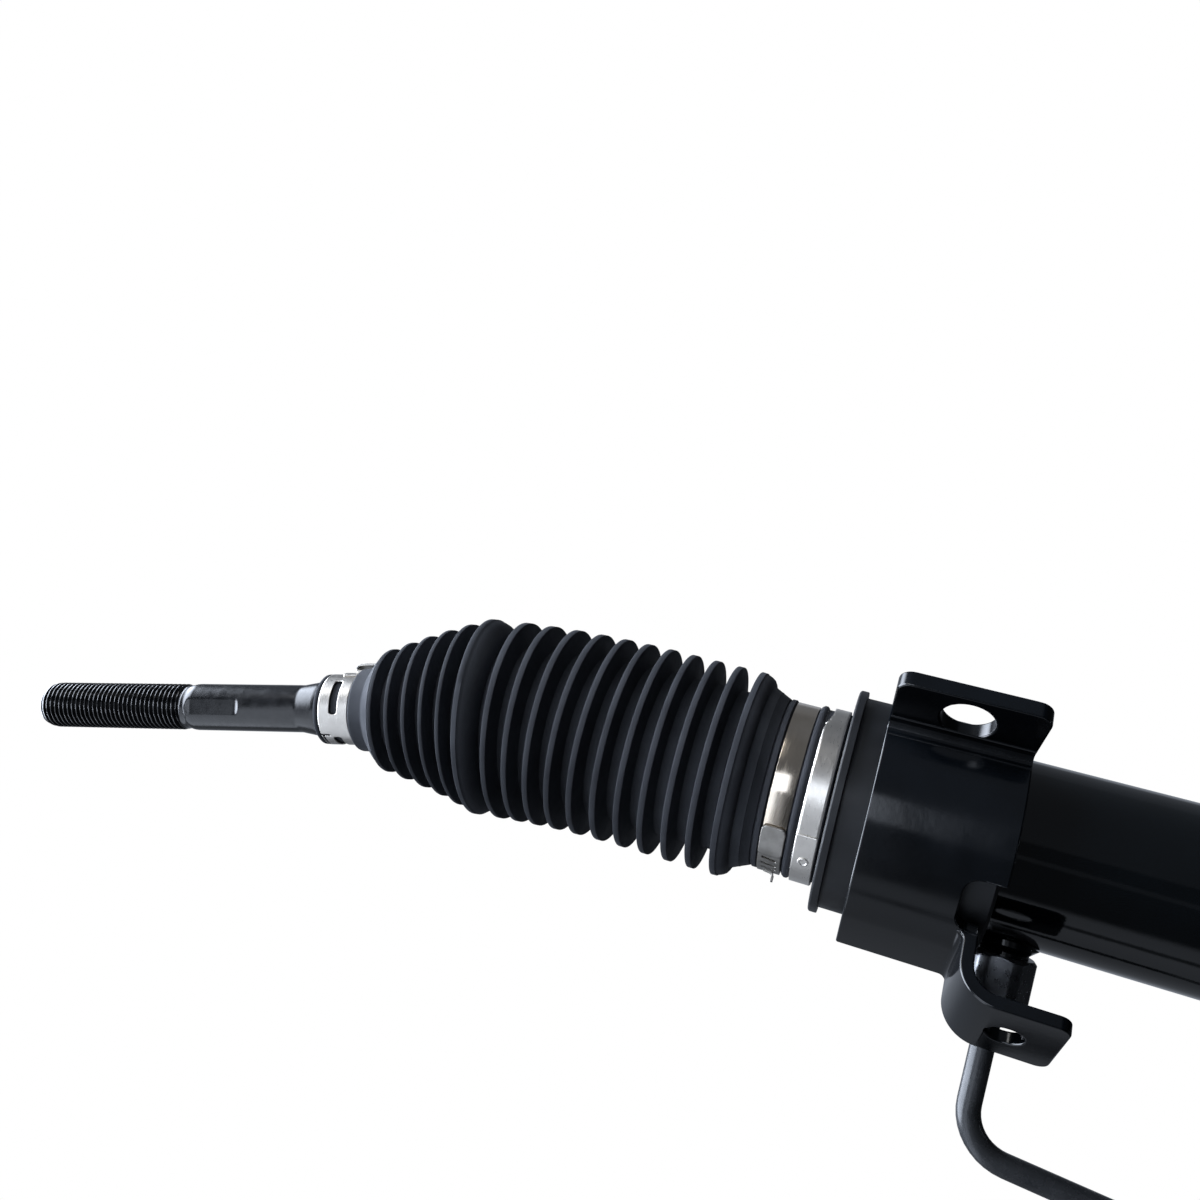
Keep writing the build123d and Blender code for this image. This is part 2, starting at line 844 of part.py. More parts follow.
with BuildPart() as rack_yoke:
    with BuildSketch(yoke_plane.offset(yoke_start + yoke_step)):
        Circle(yoke_radius - rack_fit)
    extrude(amount=yoke_back - yoke_start - yoke_step)
    with BuildSketch(yoke_plane.offset(yoke_back - yoke_pocket_depth)):
        Circle(yoke_pocket_radius)
    extrude(amount=yoke_pocket_depth, mode=Mode.SUBTRACT)
    yoke_seat = rack_radius + rack_fit + yoke_liner_wall
    half = yoke_radius + overrun
    ring(pinion_x - half, pinion_x + half, yoke_seat, 0, along, Mode.SUBTRACT)
save(rack_yoke, "rack_yoke")

with BuildPart() as yoke_liner:
    liner_start = 180 - liner_angle
    with BuildSketch(across(pinion_x - liner_half)):
        with BuildLine():
            outer_arc = CenterArc((0, 0), yoke_seat, liner_start, 2 * liner_angle)
            inner_arc = CenterArc((0, 0), rack_radius + rack_fit, liner_start, 2 * liner_angle)
            Line(outer_arc @ 0, inner_arc @ 0)
            Line(outer_arc @ 1, inner_arc @ 1)
        make_face()
    extrude(amount=2 * liner_half)
save(yoke_liner, "yoke_liner")

with BuildPart() as yoke_spring:
    spring_start = yoke_back - yoke_pocket_depth + spring_wire / 2
    spring_height = plug_inner - spring_start - spring_wire / 2
    coil_radius = yoke_pocket_radius - spring_wire / 2 - spring_gap
    with BuildLine() as coil:
        Helix(spring_height / spring_turns, spring_height, coil_radius)
    coil_line = yoke_plane.offset(spring_start).from_local_coords(coil.line)
    with BuildSketch(Plane(origin=coil_line @ 0, z_dir=coil_line % 0)):
        Circle(spring_wire / 2)
    sweep(path=coil_line)
save(yoke_spring, "yoke_spring")

with BuildPart() as yoke_plug:
    with BuildSketch(yoke_plane.offset(plug_inner)):
        Circle(yoke_radius)
    extrude(amount=plug_outer - plug_inner)
    with BuildSketch(yoke_plane.offset(plug_outer - plug_socket_depth)):
        RegularPolygon(plug_socket_flats / 2, 6, major_radius=False)
    extrude(amount=plug_socket_depth + overrun, mode=Mode.SUBTRACT)
save(yoke_plug, "yoke_plug")

with BuildPart() as yoke_lock_nut:
    with BuildSketch(yoke_plane.offset(yoke_tower_end)):
        RegularPolygon(lock_nut_flats / 2, 6, major_radius=False)
        Circle(yoke_radius, mode=Mode.SUBTRACT)
    extrude(amount=lock_nut_width)
save(yoke_lock_nut, "yoke_lock_nut")

# ---- Pinion, its teeth, bearings and cap ------------------------------------------------------

flank_points = 7
addendum_share = 0.85
dedendum_share = 1.25
root_lap = 0.02
tooth_sink = 0.4
journal_tail = 3.0
journal_step = 1.5
pinion_journal = 6.0
pinion_neck = 9.0
upper_journal = 11.0
pinion_head = 13.0
head_top = 34.0
torsion_radius = 3.0
torsion_bore = 3.4
torsion_bottom = -6.0
spigot_bore = 8.0
spigot_bottom = 25.0


def tooth_flank(tip_radius, root_radius):
    """Half of one tooth: (radius, half angle) down the involute, then straight in to the root."""
    angle = radians(pressure_angle)
    base = gear_radius * cos(angle)
    thickness = gear_module * (pi / 2 + 2 * shift_share * tan(angle)) - backlash
    half_at_pitch = thickness / (2 * gear_radius)
    flank = []
    for step in range(flank_points):
        radius = tip_radius + (base - tip_radius) * step / (flank_points - 1)
        roll = acos(min(1.0, base / radius))
        flank.append((radius, half_at_pitch + tan(angle) - angle - (tan(roll) - roll)))
    flank.append((root_radius, flank[-1][1]))
    return flank


def polar_point(radius, angle):
    """Point of the pinion's section at an angle from the +X direction."""
    return (radius * cos(angle), radius * sin(angle))


def pinion_section(plane):
    """Section of the toothed length, with one tooth pointing at the rack."""
    tip_radius = gear_radius + (shift_share + addendum_share) * gear_module
    root_radius = gear_radius + (shift_share - dedendum_share) * gear_module
    sunk = root_radius - tooth_sink
    flank = tooth_flank(tip_radius, root_radius)
    with BuildSketch(plane) as section:
        Circle(root_radius + root_lap)
        for tooth in range(pinion_teeth):
            middle = 2 * pi * tooth / pinion_teeth - pi / 2
            rising = [polar_point(r, middle + a) for r, a in flank[:-1]]
            falling = [polar_point(r, middle - a) for r, a in flank[:-1]]
            with BuildLine():
                Spline(*rising)
                Spline(*falling)
                ThreePointArc(rising[0], polar_point(tip_radius, middle), falling[0])
                Polyline(
                    rising[-1],
                    polar_point(sunk, middle + flank[-1][1]),
                    polar_point(sunk, middle - flank[-1][1]),
                    falling[-1],
                )
            make_face()
    return section.sketch


twist = degrees(pinion_face * tan(radians(helix_angle)) / gear_radius)
toothed_bottom = tower_plane.offset(-pinion_face / 2)
pinion_axis = Axis(tower_plane.origin, (0, 0, 1))
first_section = pinion_section(toothed_bottom).rotate(pinion_axis, -twist / 2).face()
toothed_length = Solid.extrude_linear_with_rotation(
    first_section, toothed_bottom.origin, Vector(0, 0, pinion_face), twist)

with BuildPart() as pinion:
    add(toothed_length)
    for start, end, radius in (
        (bearing_top - bearing_width - journal_tail, -pinion_face / 2, pinion_journal),
        (bearing_top, -pinion_face / 2, pinion_journal + journal_step),
        (pinion_face / 2, upper_bush_bottom, pinion_neck),
        (upper_bush_bottom, upper_bush_top, upper_journal - rack_fit),
        (upper_bush_top, head_top, pinion_head),
    ):
        with BuildSketch(tower_plane.offset(start)):
            Circle(radius)
        extrude(amount=end - start)
    with BuildSketch(tower_plane.offset(torsion_bottom)):
        Circle(torsion_radius)
    extrude(amount=head_top - torsion_bottom, mode=Mode.SUBTRACT)
    with BuildSketch(tower_plane.offset(spigot_bottom)):
        Circle(spigot_bore + rack_fit)
    extrude(amount=head_top - spigot_bottom, mode=Mode.SUBTRACT)
save(pinion, "pinion")

# lower ball bearing, in three pieces
inner_race_outer = 9.0
outer_race_inner = 12.0
ball_circle = 10.5
bearing_balls = 9
bearing_ball_radius = 2.3
race_fit = 0.02
cap_hex_flats = 27.0
cap_hex_height = 5.0
cap_floor = 4.0
cap_clearance = 4.0

with BuildPart() as bearing_outer_race:
    with BuildSketch(tower_plane.offset(bearing_top - bearing_width)):
        Circle(bearing_radius)
        Circle(outer_race_inner, mode=Mode.SUBTRACT)
    extrude(amount=bearing_width)
    with Locations(tower_plane.offset(bearing_top - bearing_width / 2)):
        Torus(ball_circle, bearing_ball_radius + race_fit, mode=Mode.SUBTRACT)
save(bearing_outer_race, "bearing_outer_race")

with BuildPart() as bearing_inner_race:
    with BuildSketch(tower_plane.offset(bearing_top - bearing_width)):
        Circle(inner_race_outer)
        Circle(pinion_journal, mode=Mode.SUBTRACT)
    extrude(amount=bearing_width)
    with Locations(tower_plane.offset(bearing_top - bearing_width / 2)):
        Torus(ball_circle, bearing_ball_radius + race_fit, mode=Mode.SUBTRACT)
save(bearing_inner_race, "bearing_inner_race")

with BuildPart() as bearing_ball_set:
    with Locations(tower_plane.offset(bearing_top - bearing_width / 2)):
        with PolarLocations(ball_circle, bearing_balls):
            Sphere(bearing_ball_radius)
save(bearing_ball_set, "bearing_balls")

with BuildPart() as bottom_cap:
    with BuildSketch(tower_plane.offset(tower_bottom)):
        Circle(cap_radius)
    extrude(amount=cap_depth)
    with BuildSketch(tower_plane.offset(tower_bottom - cap_hex_height)):
        RegularPolygon(cap_hex_flats / 2, 6, major_radius=False)
    extrude(amount=cap_hex_height)
    with BuildSketch(tower_plane.offset(tower_bottom + cap_floor)):
        Circle(pinion_journal + cap_clearance)
    extrude(amount=cap_depth, mode=Mode.SUBTRACT)
    with BuildSketch(tower_plane.offset(tower_bottom + cap_depth)):
        Circle(bearing_radius)
        Circle(outer_race_inner, mode=Mode.SUBTRACT)
    extrude(amount=bearing_top - bearing_width - tower_bottom - cap_depth)
save(bottom_cap, "bottom_cap")

with BuildPart() as upper_bush:
    with BuildSketch(tower_plane.offset(upper_bush_bottom)):
        Circle(upper_bush_radius)
        Circle(upper_journal, mode=Mode.SUBTRACT)
    extrude(amount=upper_bush_top - upper_bush_bottom)
save(upper_bush, "upper_bush")

# ---- Valve: housing, sleeve, rings, input shaft and torsion bar --------------------------------

sleeve_bore = 10.0
sleeve_top = 70.0
sleeve_band = 2.4
sleeve_end_gap = 2.0
first_ring = 5.0
ring_pitch = 9.0
ring_count = 4
ring_depth = 1.8
ring_gap = 0.1
input_radius = 9.0
input_top = 112.0
spline_start = 93.0
spline_radius = 8.6
valve_flange = 8.0
valve_edge = 2.5
head_well_radius = 14.0
head_well_depth = 5.0
pipe_boss_radius = 8.0
valve_nut_inset = 7.0
valve_nut_length = 12.0
input_seal_radius = 14.0
input_seal_lift = 5.0
input_seal_width = 7.0
# the hoses' ports: height, radius of the boss and of its threaded hole
hose_ports = ((54.0, 10.5, 7.25), (73.5, 9.2, 6.25))
hose_boss_reach = 31.0
hose_hole_start = 19.0
hose_drill_start = 12.0
hose_drill_radius = 3.5

with BuildPart() as valve_housing:
    with BuildSketch(tower_plane.offset(tower_top)):
        Circle(valve_radius)
    extrude(amount=valve_top - tower_top)
    with BuildSketch(tower_plane.offset(tower_top)):
        SlotCenterToCenter(bolt_spacing, bolt_flange_width)
    extrude(amount=valve_flange)
    fillet(valve_housing.edges().filter_by(GeomType.CIRCLE).sort_by(Axis.Z)[-1], radius=valve_edge)
    back = Plane(origin=(pinion_x, pinion_y, rack_z), x_dir=(1, 0, 0), z_dir=(0, 1, 0))
    for height in (low_valve_port, high_valve_port):
        with BuildSketch(back):
            with Locations((0, -height)):
                Circle(pipe_boss_radius)
        extrude(amount=valve_port_back - valve_nut_inset)
    # feed and return ports, to the right
    right_side = Plane(origin=(pinion_x, pinion_y, rack_z), x_dir=(0, 1, 0), z_dir=(1, 0, 0))
    for height, boss, hole in hose_ports:
        with BuildSketch(right_side):
            with Locations((0, height)):
                Circle(boss)
        extrude(amount=hose_boss_reach)
    # bores
    with BuildSketch(tower_plane.offset(tower_top)):
        Circle(head_well_radius)
    extrude(amount=head_well_depth + overrun, mode=Mode.SUBTRACT)
    with BuildSketch(tower_plane.offset(tower_top + head_well_depth)):
        Circle(valve_bore)
    extrude(amount=sleeve_top + sleeve_end_gap - tower_top - head_well_depth, mode=Mode.SUBTRACT)
    with BuildSketch(tower_plane.offset(sleeve_top)):
        Circle(input_seal_radius)
    extrude(amount=valve_top - sleeve_top + overrun, mode=Mode.SUBTRACT)
    for height in (low_valve_port, high_valve_port):
        with BuildSketch(back):
            with Locations((0, -height)):
                Circle(pipe_radius)
        extrude(amount=valve_port_back, mode=Mode.SUBTRACT)
    for height, boss, hole in hose_ports:
        with BuildSketch(right_side.offset(hose_hole_start)):
            with Locations((0, height)):
                Circle(hole)
        extrude(amount=hose_boss_reach - hose_hole_start + overrun, mode=Mode.SUBTRACT)
        with BuildSketch(right_side.offset(hose_drill_start)):
            with Locations((0, height)):
                Circle(hose_drill_radius)
        extrude(amount=hose_hole_start - hose_drill_start + overrun, mode=Mode.SUBTRACT)
    with BuildSketch(tower_plane.offset(tower_top - overrun)):
        with GridLocations(bolt_spacing, 1, 2, 1):
            Circle(bolt_radius)
    extrude(amount=valve_flange + 2 * overrun, mode=Mode.SUBTRACT)
save(valve_housing, "valve_housing")

with BuildPart() as valve_sleeve:
    with BuildSketch(tower_plane.offset(head_top)):
        Circle(valve_bore - rack_fit)
        Circle(sleeve_bore, mode=Mode.SUBTRACT)
    extrude(amount=sleeve_top - head_top)
    ring_heights = [head_top + first_ring + ring_pitch * step for step in range(ring_count)]
    for height in ring_heights:
        with BuildSketch(tower_plane.offset(height)):
            Circle(valve_bore + overrun)
            Circle(valve_bore - ring_depth, mode=Mode.SUBTRACT)
        extrude(amount=sleeve_band, mode=Mode.SUBTRACT)
save(valve_sleeve, "valve_sleeve")

with BuildPart() as sleeve_rings:
    for height in ring_heights:
        with BuildSketch(tower_plane.offset(height + ring_gap)):
            Circle(valve_bore - rack_fit)
            Circle(valve_bore - ring_depth, mode=Mode.SUBTRACT)
        extrude(amount=sleeve_band - 2 * ring_gap)
save(sleeve_rings, "sleeve_rings")

spigot_gap = 0.5
input_step = 1.0
pinch_groove = 7.0
pinch_groove_width = 6.0
pinch_groove_depth = 1.4
torsion_bore_top = 8.0
torsion_waist = 0.4
torsion_head = 16.0

with BuildPart() as input_shaft:
    for start, end, radius in (
        (spigot_bottom + spigot_gap, head_top + spigot_gap, spigot_bore),
        (head_top + spigot_gap, sleeve_top + input_step, sleeve_bore - rack_fit),
        (sleeve_top + input_step, spline_start, input_radius),
        (spline_start, input_top, spline_radius),
    ):
        with BuildSketch(tower_plane.offset(start)):
            Circle(radius)
        extrude(amount=end - start)
    # groove for the joint's pinch bolt
    with BuildSketch(tower_plane.offset(spline_start + pinch_groove)):
        Circle(spline_radius + overrun)
        Circle(spline_radius - pinch_groove_depth, mode=Mode.SUBTRACT)
    extrude(amount=pinch_groove_width, mode=Mode.SUBTRACT)
    with BuildSketch(tower_plane.offset(spigot_bottom)):
        Circle(torsion_bore)
    extrude(amount=input_top - torsion_bore_top - spigot_bottom, mode=Mode.SUBTRACT)
save(input_shaft, "input_shaft")

with BuildPart() as torsion_bar:
    for start, end, radius in (
        (torsion_bottom, spigot_bottom, torsion_radius),
        (spigot_bottom, input_top - torsion_head, torsion_radius - torsion_waist),
        (input_top - torsion_head, input_top - torsion_bore_top - soft_gap, torsion_bore - rack_fit),
    ):
        with BuildSketch(tower_plane.offset(start)):
            Circle(radius)
        extrude(amount=end - start)
save(torsion_bar, "torsion_bar")

with BuildPart() as input_seal:
    with BuildSketch(tower_plane.offset(sleeve_top + input_seal_lift)):
        Circle(input_seal_radius)
        Circle(input_radius + rack_fit, mode=Mode.SUBTRACT)
    extrude(amount=input_seal_width)
save(input_seal, "input_seal")

cover_skirt = 2.0
cover_fit = 0.1
cover_wall = 1.5
cover_radius = 16.0
cover_rim = 2.5
cover_height = 7.0
cover_top_radius = 11.0

with BuildPart() as dust_cover:
    cover = Plane(origin=(pinion_x, pinion_y, rack_z), x_dir=(0, 0, 1), z_dir=(0, -1, 0))
    skirt_radius = input_seal_radius - cover_fit
    lip_radius = input_radius + soft_gap
    turn([
        (valve_top - cover_skirt, skirt_radius - cover_wall),
        (valve_top - cover_skirt, skirt_radius),
        (valve_top, skirt_radius),
        (valve_top, cover_radius),
        (valve_top + cover_rim, cover_radius),
        (valve_top + cover_height, cover_top_radius),
        (valve_top + cover_height, lip_radius),
        (valve_top + cover_height - cover_wall, lip_radius),
        (valve_top + cover_wall, skirt_radius - cover_wall),
    ], cover)
save(dust_cover, "dust_cover")

bolt_head_flats = 13.0
bolt_head_height = 6.0

with BuildPart() as valve_bolts:
    bolt_places = [(pinion_x - bolt_spacing / 2, pinion_y), (pinion_x + bolt_spacing / 2, pinion_y)]
    for place in bolt_places:
        with BuildSketch(Plane.XY.offset(rack_z + tower_top + valve_flange)):
            with Locations(place):
                RegularPolygon(bolt_head_flats / 2, 6, major_radius=False)
        extrude(amount=bolt_head_height)
        with BuildSketch(Plane.XY.offset(rack_z + tower_top - bolt_depth)):
            with Locations(place):
                Circle(bolt_radius)
        extrude(amount=bolt_depth + valve_flange)
save(valve_bolts, "valve_bolts")

with BuildPart() as valve_pipe_nuts:
    for height in (low_valve_port, high_valve_port):
        with BuildSketch(back.offset(valve_port_back - valve_nut_inset)):
            with Locations((0, -height)):
                RegularPolygon(nut_flats / 2, 6, major_radius=False)
                Circle(pipe_radius, mode=Mode.SUBTRACT)
        extrude(amount=valve_nut_length)
save(valve_pipe_nuts, "valve_pipe_nuts")

# ---- Rack bar with its teeth, piston and ring ---------------------------------------------------

bar_left = ball_centre(-1).X + socket_back + lock_washer
bar_right = ball_centre(1).X - socket_back - lock_washer
circular_pitch = pi * gear_module
bar_chamfer = 1.0
piston_seat = 5.0
piston_seat_depth = 1.0


def tooth_gap():
    """One gap of the rack, seen from above: narrow at its root and wide at the teeth's tips."""
    reference = tooth_flat - gear_module
    root = reference - dedendum_share * gear_module
    half = (circular_pitch / 2 + backlash) / 2
    slope = tan(radians(pressure_angle))
    at_root = half - (reference - root) * slope
    at_tip = half + gear_module * slope
    above = rack_radius + overrun
    return [
        (-at_root, root),
        (at_root, root),
        (at_tip, tooth_flat),
        (at_tip, above),
        (-at_tip, above),
        (-at_tip, tooth_flat),
    ]


with BuildPart() as rack_bar:
    turn([
        (bar_left, 0),
        (bar_right, 0),
        (bar_right, rack_radius - bar_chamfer),
        (bar_right - bar_chamfer, rack_radius),
        (bar_left + bar_chamfer, rack_radius),
        (bar_left, rack_radius - bar_chamfer),
    ])
    flat_start = pinion_x - rack_teeth_left
    flat_end = pinion_x + rack_teeth_right
    with BuildSketch(Plane.XY.offset(rack_z - rack_radius - overrun)):
        with Locations((flat_start, rack_y + tooth_flat)):
            Rectangle(flat_end - flat_start, rack_radius, align=(Align.MIN, Align.MIN))
    extrude(amount=2 * (rack_radius + overrun), mode=Mode.SUBTRACT)
    first_gap = -int((rack_teeth_left - circular_pitch / 2) / circular_pitch)
    last_gap = int((rack_teeth_right - circular_pitch / 2) / circular_pitch)
    with BuildSketch(Plane(origin=(pinion_x, rack_y, rack_z)), mode=Mode.PRIVATE) as gaps:
        for gap in range(first_gap, last_gap + 1):
            with Locations((gap * circular_pitch, 0)):
                Polygon(*tooth_gap(), align=None)
    slant = Vector(tan(radians(helix_angle)), 0, 1).normalized()
    reach = (rack_radius + overrun) / cos(radians(helix_angle))
    extrude(gaps.sketch, amount=reach, dir=slant, mode=Mode.SUBTRACT)
    extrude(gaps.sketch, amount=reach, dir=-slant, mode=Mode.SUBTRACT)
    for place, direction in ((bar_left, 1), (bar_right, -1)):
        with BuildSketch(across(place)):
            Circle(socket_stud)
        extrude(amount=direction * (socket_stud_length - lock_washer), mode=Mode.SUBTRACT)
    # seat of the piston
    seat_start = piston_x - piston_seat / 2
    seat_end = piston_x + piston_seat / 2
    seat_floor = rack_radius - piston_seat_depth
    ring(seat_start, seat_end, rack_radius + overrun, seat_floor, along, Mode.SUBTRACT)
save(rack_bar, "rack_bar")

piston_gap = 0.15
piston_radius = tube_bore - piston_gap
piston_groove = 3.2
piston_groove_depth = 2.0
groove_start = piston_x - piston_groove / 2
groove_end = piston_x + piston_groove / 2
piston_floor = piston_radius - piston_groove_depth

with BuildPart() as piston:
    ring(piston_x - piston_width / 2, piston_x + piston_width / 2, piston_radius, rack_radius)
    ring(seat_start, seat_end, rack_radius, seat_floor)
    ring(groove_start, groove_end, piston_radius + overrun, piston_floor, along, Mode.SUBTRACT)
save(piston, "piston")

with BuildPart() as piston_ring:
    ring(groove_start + ring_gap, groove_end - ring_gap, tube_bore - rack_fit, piston_floor)
save(piston_ring, "piston_ring")

# ---- Inner ball joints, tie rods, bellows and their clamps, at both ends -------------------------

boot_edge = first_fold - cone_land
mouth_angle = 57.8
zone_angle = 78.0
neck_angle = degrees(asin(rod_neck_radius / ball_radius))
run_out_radius = rod_neck_radius + run_out_step


def rod_outline():
    """Outer half outline of the tie rod past its ball: (distance from the ball, radius)."""
    return [
        (rod_neck_end, rod_neck_radius),
        (rod_neck_end + rod_neck_flare, rod_radius),
        (rod_seat_start - rod_seat_flare, rod_radius),
        (rod_seat_start, rod_seat_radius),
        (rod_seat_end, rod_seat_radius + rod_seat_rise),
        (rod_swell_end, rod_radius),
        (thread_start - run_out_width - run_out_bevel, rod_radius),
        (thread_start - run_out_width, run_out_radius),
        (thread_start, run_out_radius),
        (thread_start, thread_radius),
        (rod_end - tip_length, thread_radius),
        (rod_end - tip_face, thread_radius - tip_bevel),
        (rod_end, tip_radius),
        (rod_end, 0),
    ]


def outer_profile(side):
    """Outer half outline of the straight bellows: (distance outboard, radius) at crests and valleys."""
    pitch = (ball_reach(side) + last_fold - first_fold) / (straight_folds - 1)
    points = [(band_start, cuff_radius), (cone_start, cuff_radius), (boot_edge, cone_radius)]
    for fold in range(straight_folds):
        crest = first_fold + fold * pitch
        points.append((crest - crest_half, fold_radius))
        points.append((crest + crest_half, fold_radius))
        points.append((crest + pitch / 2, valley_radius))
    return points


def bent_profile():
    """Outer half outline of the bellows past the ball, along the tie rod."""
    points = [
        (wide_fold_foot, valley_radius),
        (wide_fold_start, valley_radius + wide_fold_step),
        (wide_fold_start + wide_fold_rise, fold_radius - crest_half),
    ]
    for fold in range(bent_folds):
        crest = bent_fold_start + fold * bent_fold_pitch
        shrink = small_fold_drop * fold / (bent_folds - 1)
        if fold:
            points.append((crest - bent_fold_pitch / 2, valley_radius - valley_shrink * shrink))
        points.append((crest - crest_half, fold_radius - shrink))
        points.append((crest + crest_half, fold_radius - shrink))
    return points + [
        (boot_neck_start - boot_neck_ramp, boot_neck_radius + boot_neck_rise),
        (boot_neck_start, boot_neck_radius),
        (boot_seat_start, boot_neck_radius),
        (boot_seat_start + boot_seat_ramp, boot_seat_radius),
        (boot_seat_end, boot_seat_radius),
    ]


for side, name in side_names.items():
    base = outboard(side)
    rod = rod_plane(side)
    reach = ball_reach(side)
    socket_start = reach - socket_back

    with BuildPart() as joint_socket:
        with BuildSketch(base):
            with BuildLine():
                zone = CenterArc((reach, 0), ball_radius + ball_fit, mouth_angle, zone_angle - mouth_angle)
                cup = CenterArc((reach, 0), ball_radius + ball_seat_wall + ball_fit, zone_angle,
                                180 - zone_angle)
                Line(zone @ 1, cup @ 0)
                Polyline(
                    cup @ 1,
                    (socket_start - socket_stud_length, 0),
                    (socket_start - socket_stud_length, socket_stud),
                    (socket_start, socket_stud),
                    (socket_start, socket_radius - socket_chamfer),
                    (socket_start + socket_chamfer, socket_radius),
                    (reach + socket_cone, socket_radius),
                    (reach + socket_front, socket_radius - socket_cone_drop),
                    (reach + socket_front, socket_mouth_radius),
                    zone @ 0,
                )
            make_face()
        revolve(axis=Axis(base.origin, base.x_dir))
        # two flats for the spanner
        with BuildSketch(base):
            for edge, away in ((socket_flats / 2, Align.MIN), (-socket_flats / 2, Align.MAX)):
                with Locations((socket_start + socket_flat_start, edge)):
                    Rectangle(socket_flat_width, socket_radius, align=(Align.MIN, away))
        extrude(amount=socket_radius + overrun, both=True, mode=Mode.SUBTRACT)
    save(joint_socket, f"{name}_joint_socket")

    with BuildPart() as ball_seat:
        with BuildSketch(rod):
            with BuildLine():
                back = CenterArc((0, 0), ball_radius + ball_seat_wall, ball_seat_edge, 180 - ball_seat_edge)
                face = CenterArc((0, 0), ball_radius + ball_fit, ball_seat_edge, 180 - ball_seat_edge)
                Line(back @ 0, face @ 0)
                Line(back @ 1, face @ 1)
            make_face()
        revolve(axis=Axis(rod.origin, rod.x_dir))
    save(ball_seat, f"{name}_ball_seat")

    with BuildPart() as lock_washer_disc:
        ring(socket_start - lock_washer, socket_start, rack_radius + lock_washer_rim, socket_stud, base)
    save(lock_washer_disc, f"{name}_lock_washer")

    with BuildPart() as tie_rod:
        with BuildSketch(rod):
            with BuildLine():
                ball = CenterArc((0, 0), ball_radius, neck_angle, 180 - neck_angle)
                Polyline(ball @ 0, *rod_outline(), ball @ 1)
            make_face()
        revolve(axis=Axis(rod.origin, rod.x_dir))
        # two flats for the spanner, each a pocket with rounded ends
        for half_turn in (0, 180):
            flat = rod.rotated((side * pad_turn + half_turn, 0, 0)).offset(pad_flats / 2)
            with BuildSketch(flat):
                with Locations(((pad_start + pad_end) / 2, 0)):
                    SlotOverall(pad_end - pad_start, 2 * rod_radius)
            extrude(amount=rod_radius, mode=Mode.SUBTRACT)
    save(tie_rod, f"{name}_tie_rod")

    with BuildPart() as bellows:
        straight = outer_profile(side)
        last = straight[-1][0]
        inside = [
            (last, boot_cavity),
            (boot_edge + boot_wall, boot_cavity),
            (boot_edge, snout_radius),
            (band_start, snout_radius),
        ]
        turn(straight + inside, base)
        turn(bent_profile() + [(boot_seat_end, 0), (wide_fold_foot, 0)], rod)
        # the hollow that the inner joint and the tie rod move in
        ring(boot_edge + boot_wall, last + overrun, boot_cavity, 0, base, Mode.SUBTRACT)
        seat_bore = rod_seat_radius + soft_gap + seat_slack
        turn([
            (-cavity_back, 0),
            (-cavity_back, boot_cavity),
            (bent_fold_start + cavity_step, boot_cavity),
            (boot_neck_start - neck_wall_length, cavity_neck_radius),
            (boot_neck_start + overrun, boot_neck_radius - boot_neck_wall),
            (boot_seat_start + overrun, seat_bore),
            (boot_seat_end + overrun, seat_bore),
            (boot_seat_end + overrun, 0),
        ], rod, Mode.SUBTRACT)
    save(bellows, f"{name}_bellows")

    with BuildPart() as clamp:
        ring(clamp_start, clamp_start + clamp_width, clamp_radius, cuff_radius, base)
        with BuildSketch(base):
            with Locations((clamp_start + clamp_width / 2, -clamp_radius + lock_sink)):
                Rectangle(clamp_width - 2 * lock_inset, lock_height, align=(Align.CENTER, Align.MAX))
        extrude(amount=lock_reach, both=True)
    save(clamp, f"{name}_clamp")

    with BuildPart() as band:
        ring(band_start, band_start + band_width, band_radius, cuff_radius, base)
    save(band, f"{name}_band")

    with BuildPart() as clip:
        ring(clip_start, clip_end, clip_radius, clip_radius - clip_wall, rod)
        with BuildSketch(rod):
            with Locations((clip_start + ear_inset, clip_radius - ear_sink)):
                Rectangle(ear_length, ear_height, align=(Align.MIN, Align.MIN))
        extrude(amount=ear_half_width, both=True)
    save(clip, f"{name}_clip")
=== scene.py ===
import bmesh
import bpy
import numpy as np
from mathutils import Matrix, Vector
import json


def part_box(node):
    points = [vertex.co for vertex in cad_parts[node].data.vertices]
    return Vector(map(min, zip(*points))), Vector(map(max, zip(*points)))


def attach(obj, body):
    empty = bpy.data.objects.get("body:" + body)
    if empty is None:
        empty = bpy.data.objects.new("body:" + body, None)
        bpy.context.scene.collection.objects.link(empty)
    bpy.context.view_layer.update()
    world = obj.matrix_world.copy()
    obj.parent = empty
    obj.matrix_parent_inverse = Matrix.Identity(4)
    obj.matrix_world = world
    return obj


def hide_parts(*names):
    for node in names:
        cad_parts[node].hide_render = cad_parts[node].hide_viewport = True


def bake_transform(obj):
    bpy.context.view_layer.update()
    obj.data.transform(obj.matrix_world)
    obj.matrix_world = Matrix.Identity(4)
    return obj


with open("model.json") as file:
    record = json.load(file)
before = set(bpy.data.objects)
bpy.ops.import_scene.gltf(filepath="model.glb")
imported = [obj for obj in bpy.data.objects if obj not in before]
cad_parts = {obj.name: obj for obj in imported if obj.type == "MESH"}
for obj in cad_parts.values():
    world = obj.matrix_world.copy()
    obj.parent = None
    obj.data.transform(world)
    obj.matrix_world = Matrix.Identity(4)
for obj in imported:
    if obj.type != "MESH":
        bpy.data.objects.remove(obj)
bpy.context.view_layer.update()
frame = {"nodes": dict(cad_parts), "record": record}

# ---------------------------------------------------------------------------------------------
# Cylinder tube: a drawn steel tube that the piston slides in, 45 mm across, painted gloss black.
# Its outside is one turned skin, and the paint has a faint orange peel and slightly duller patches.
# ---------------------------------------------------------------------------------------------

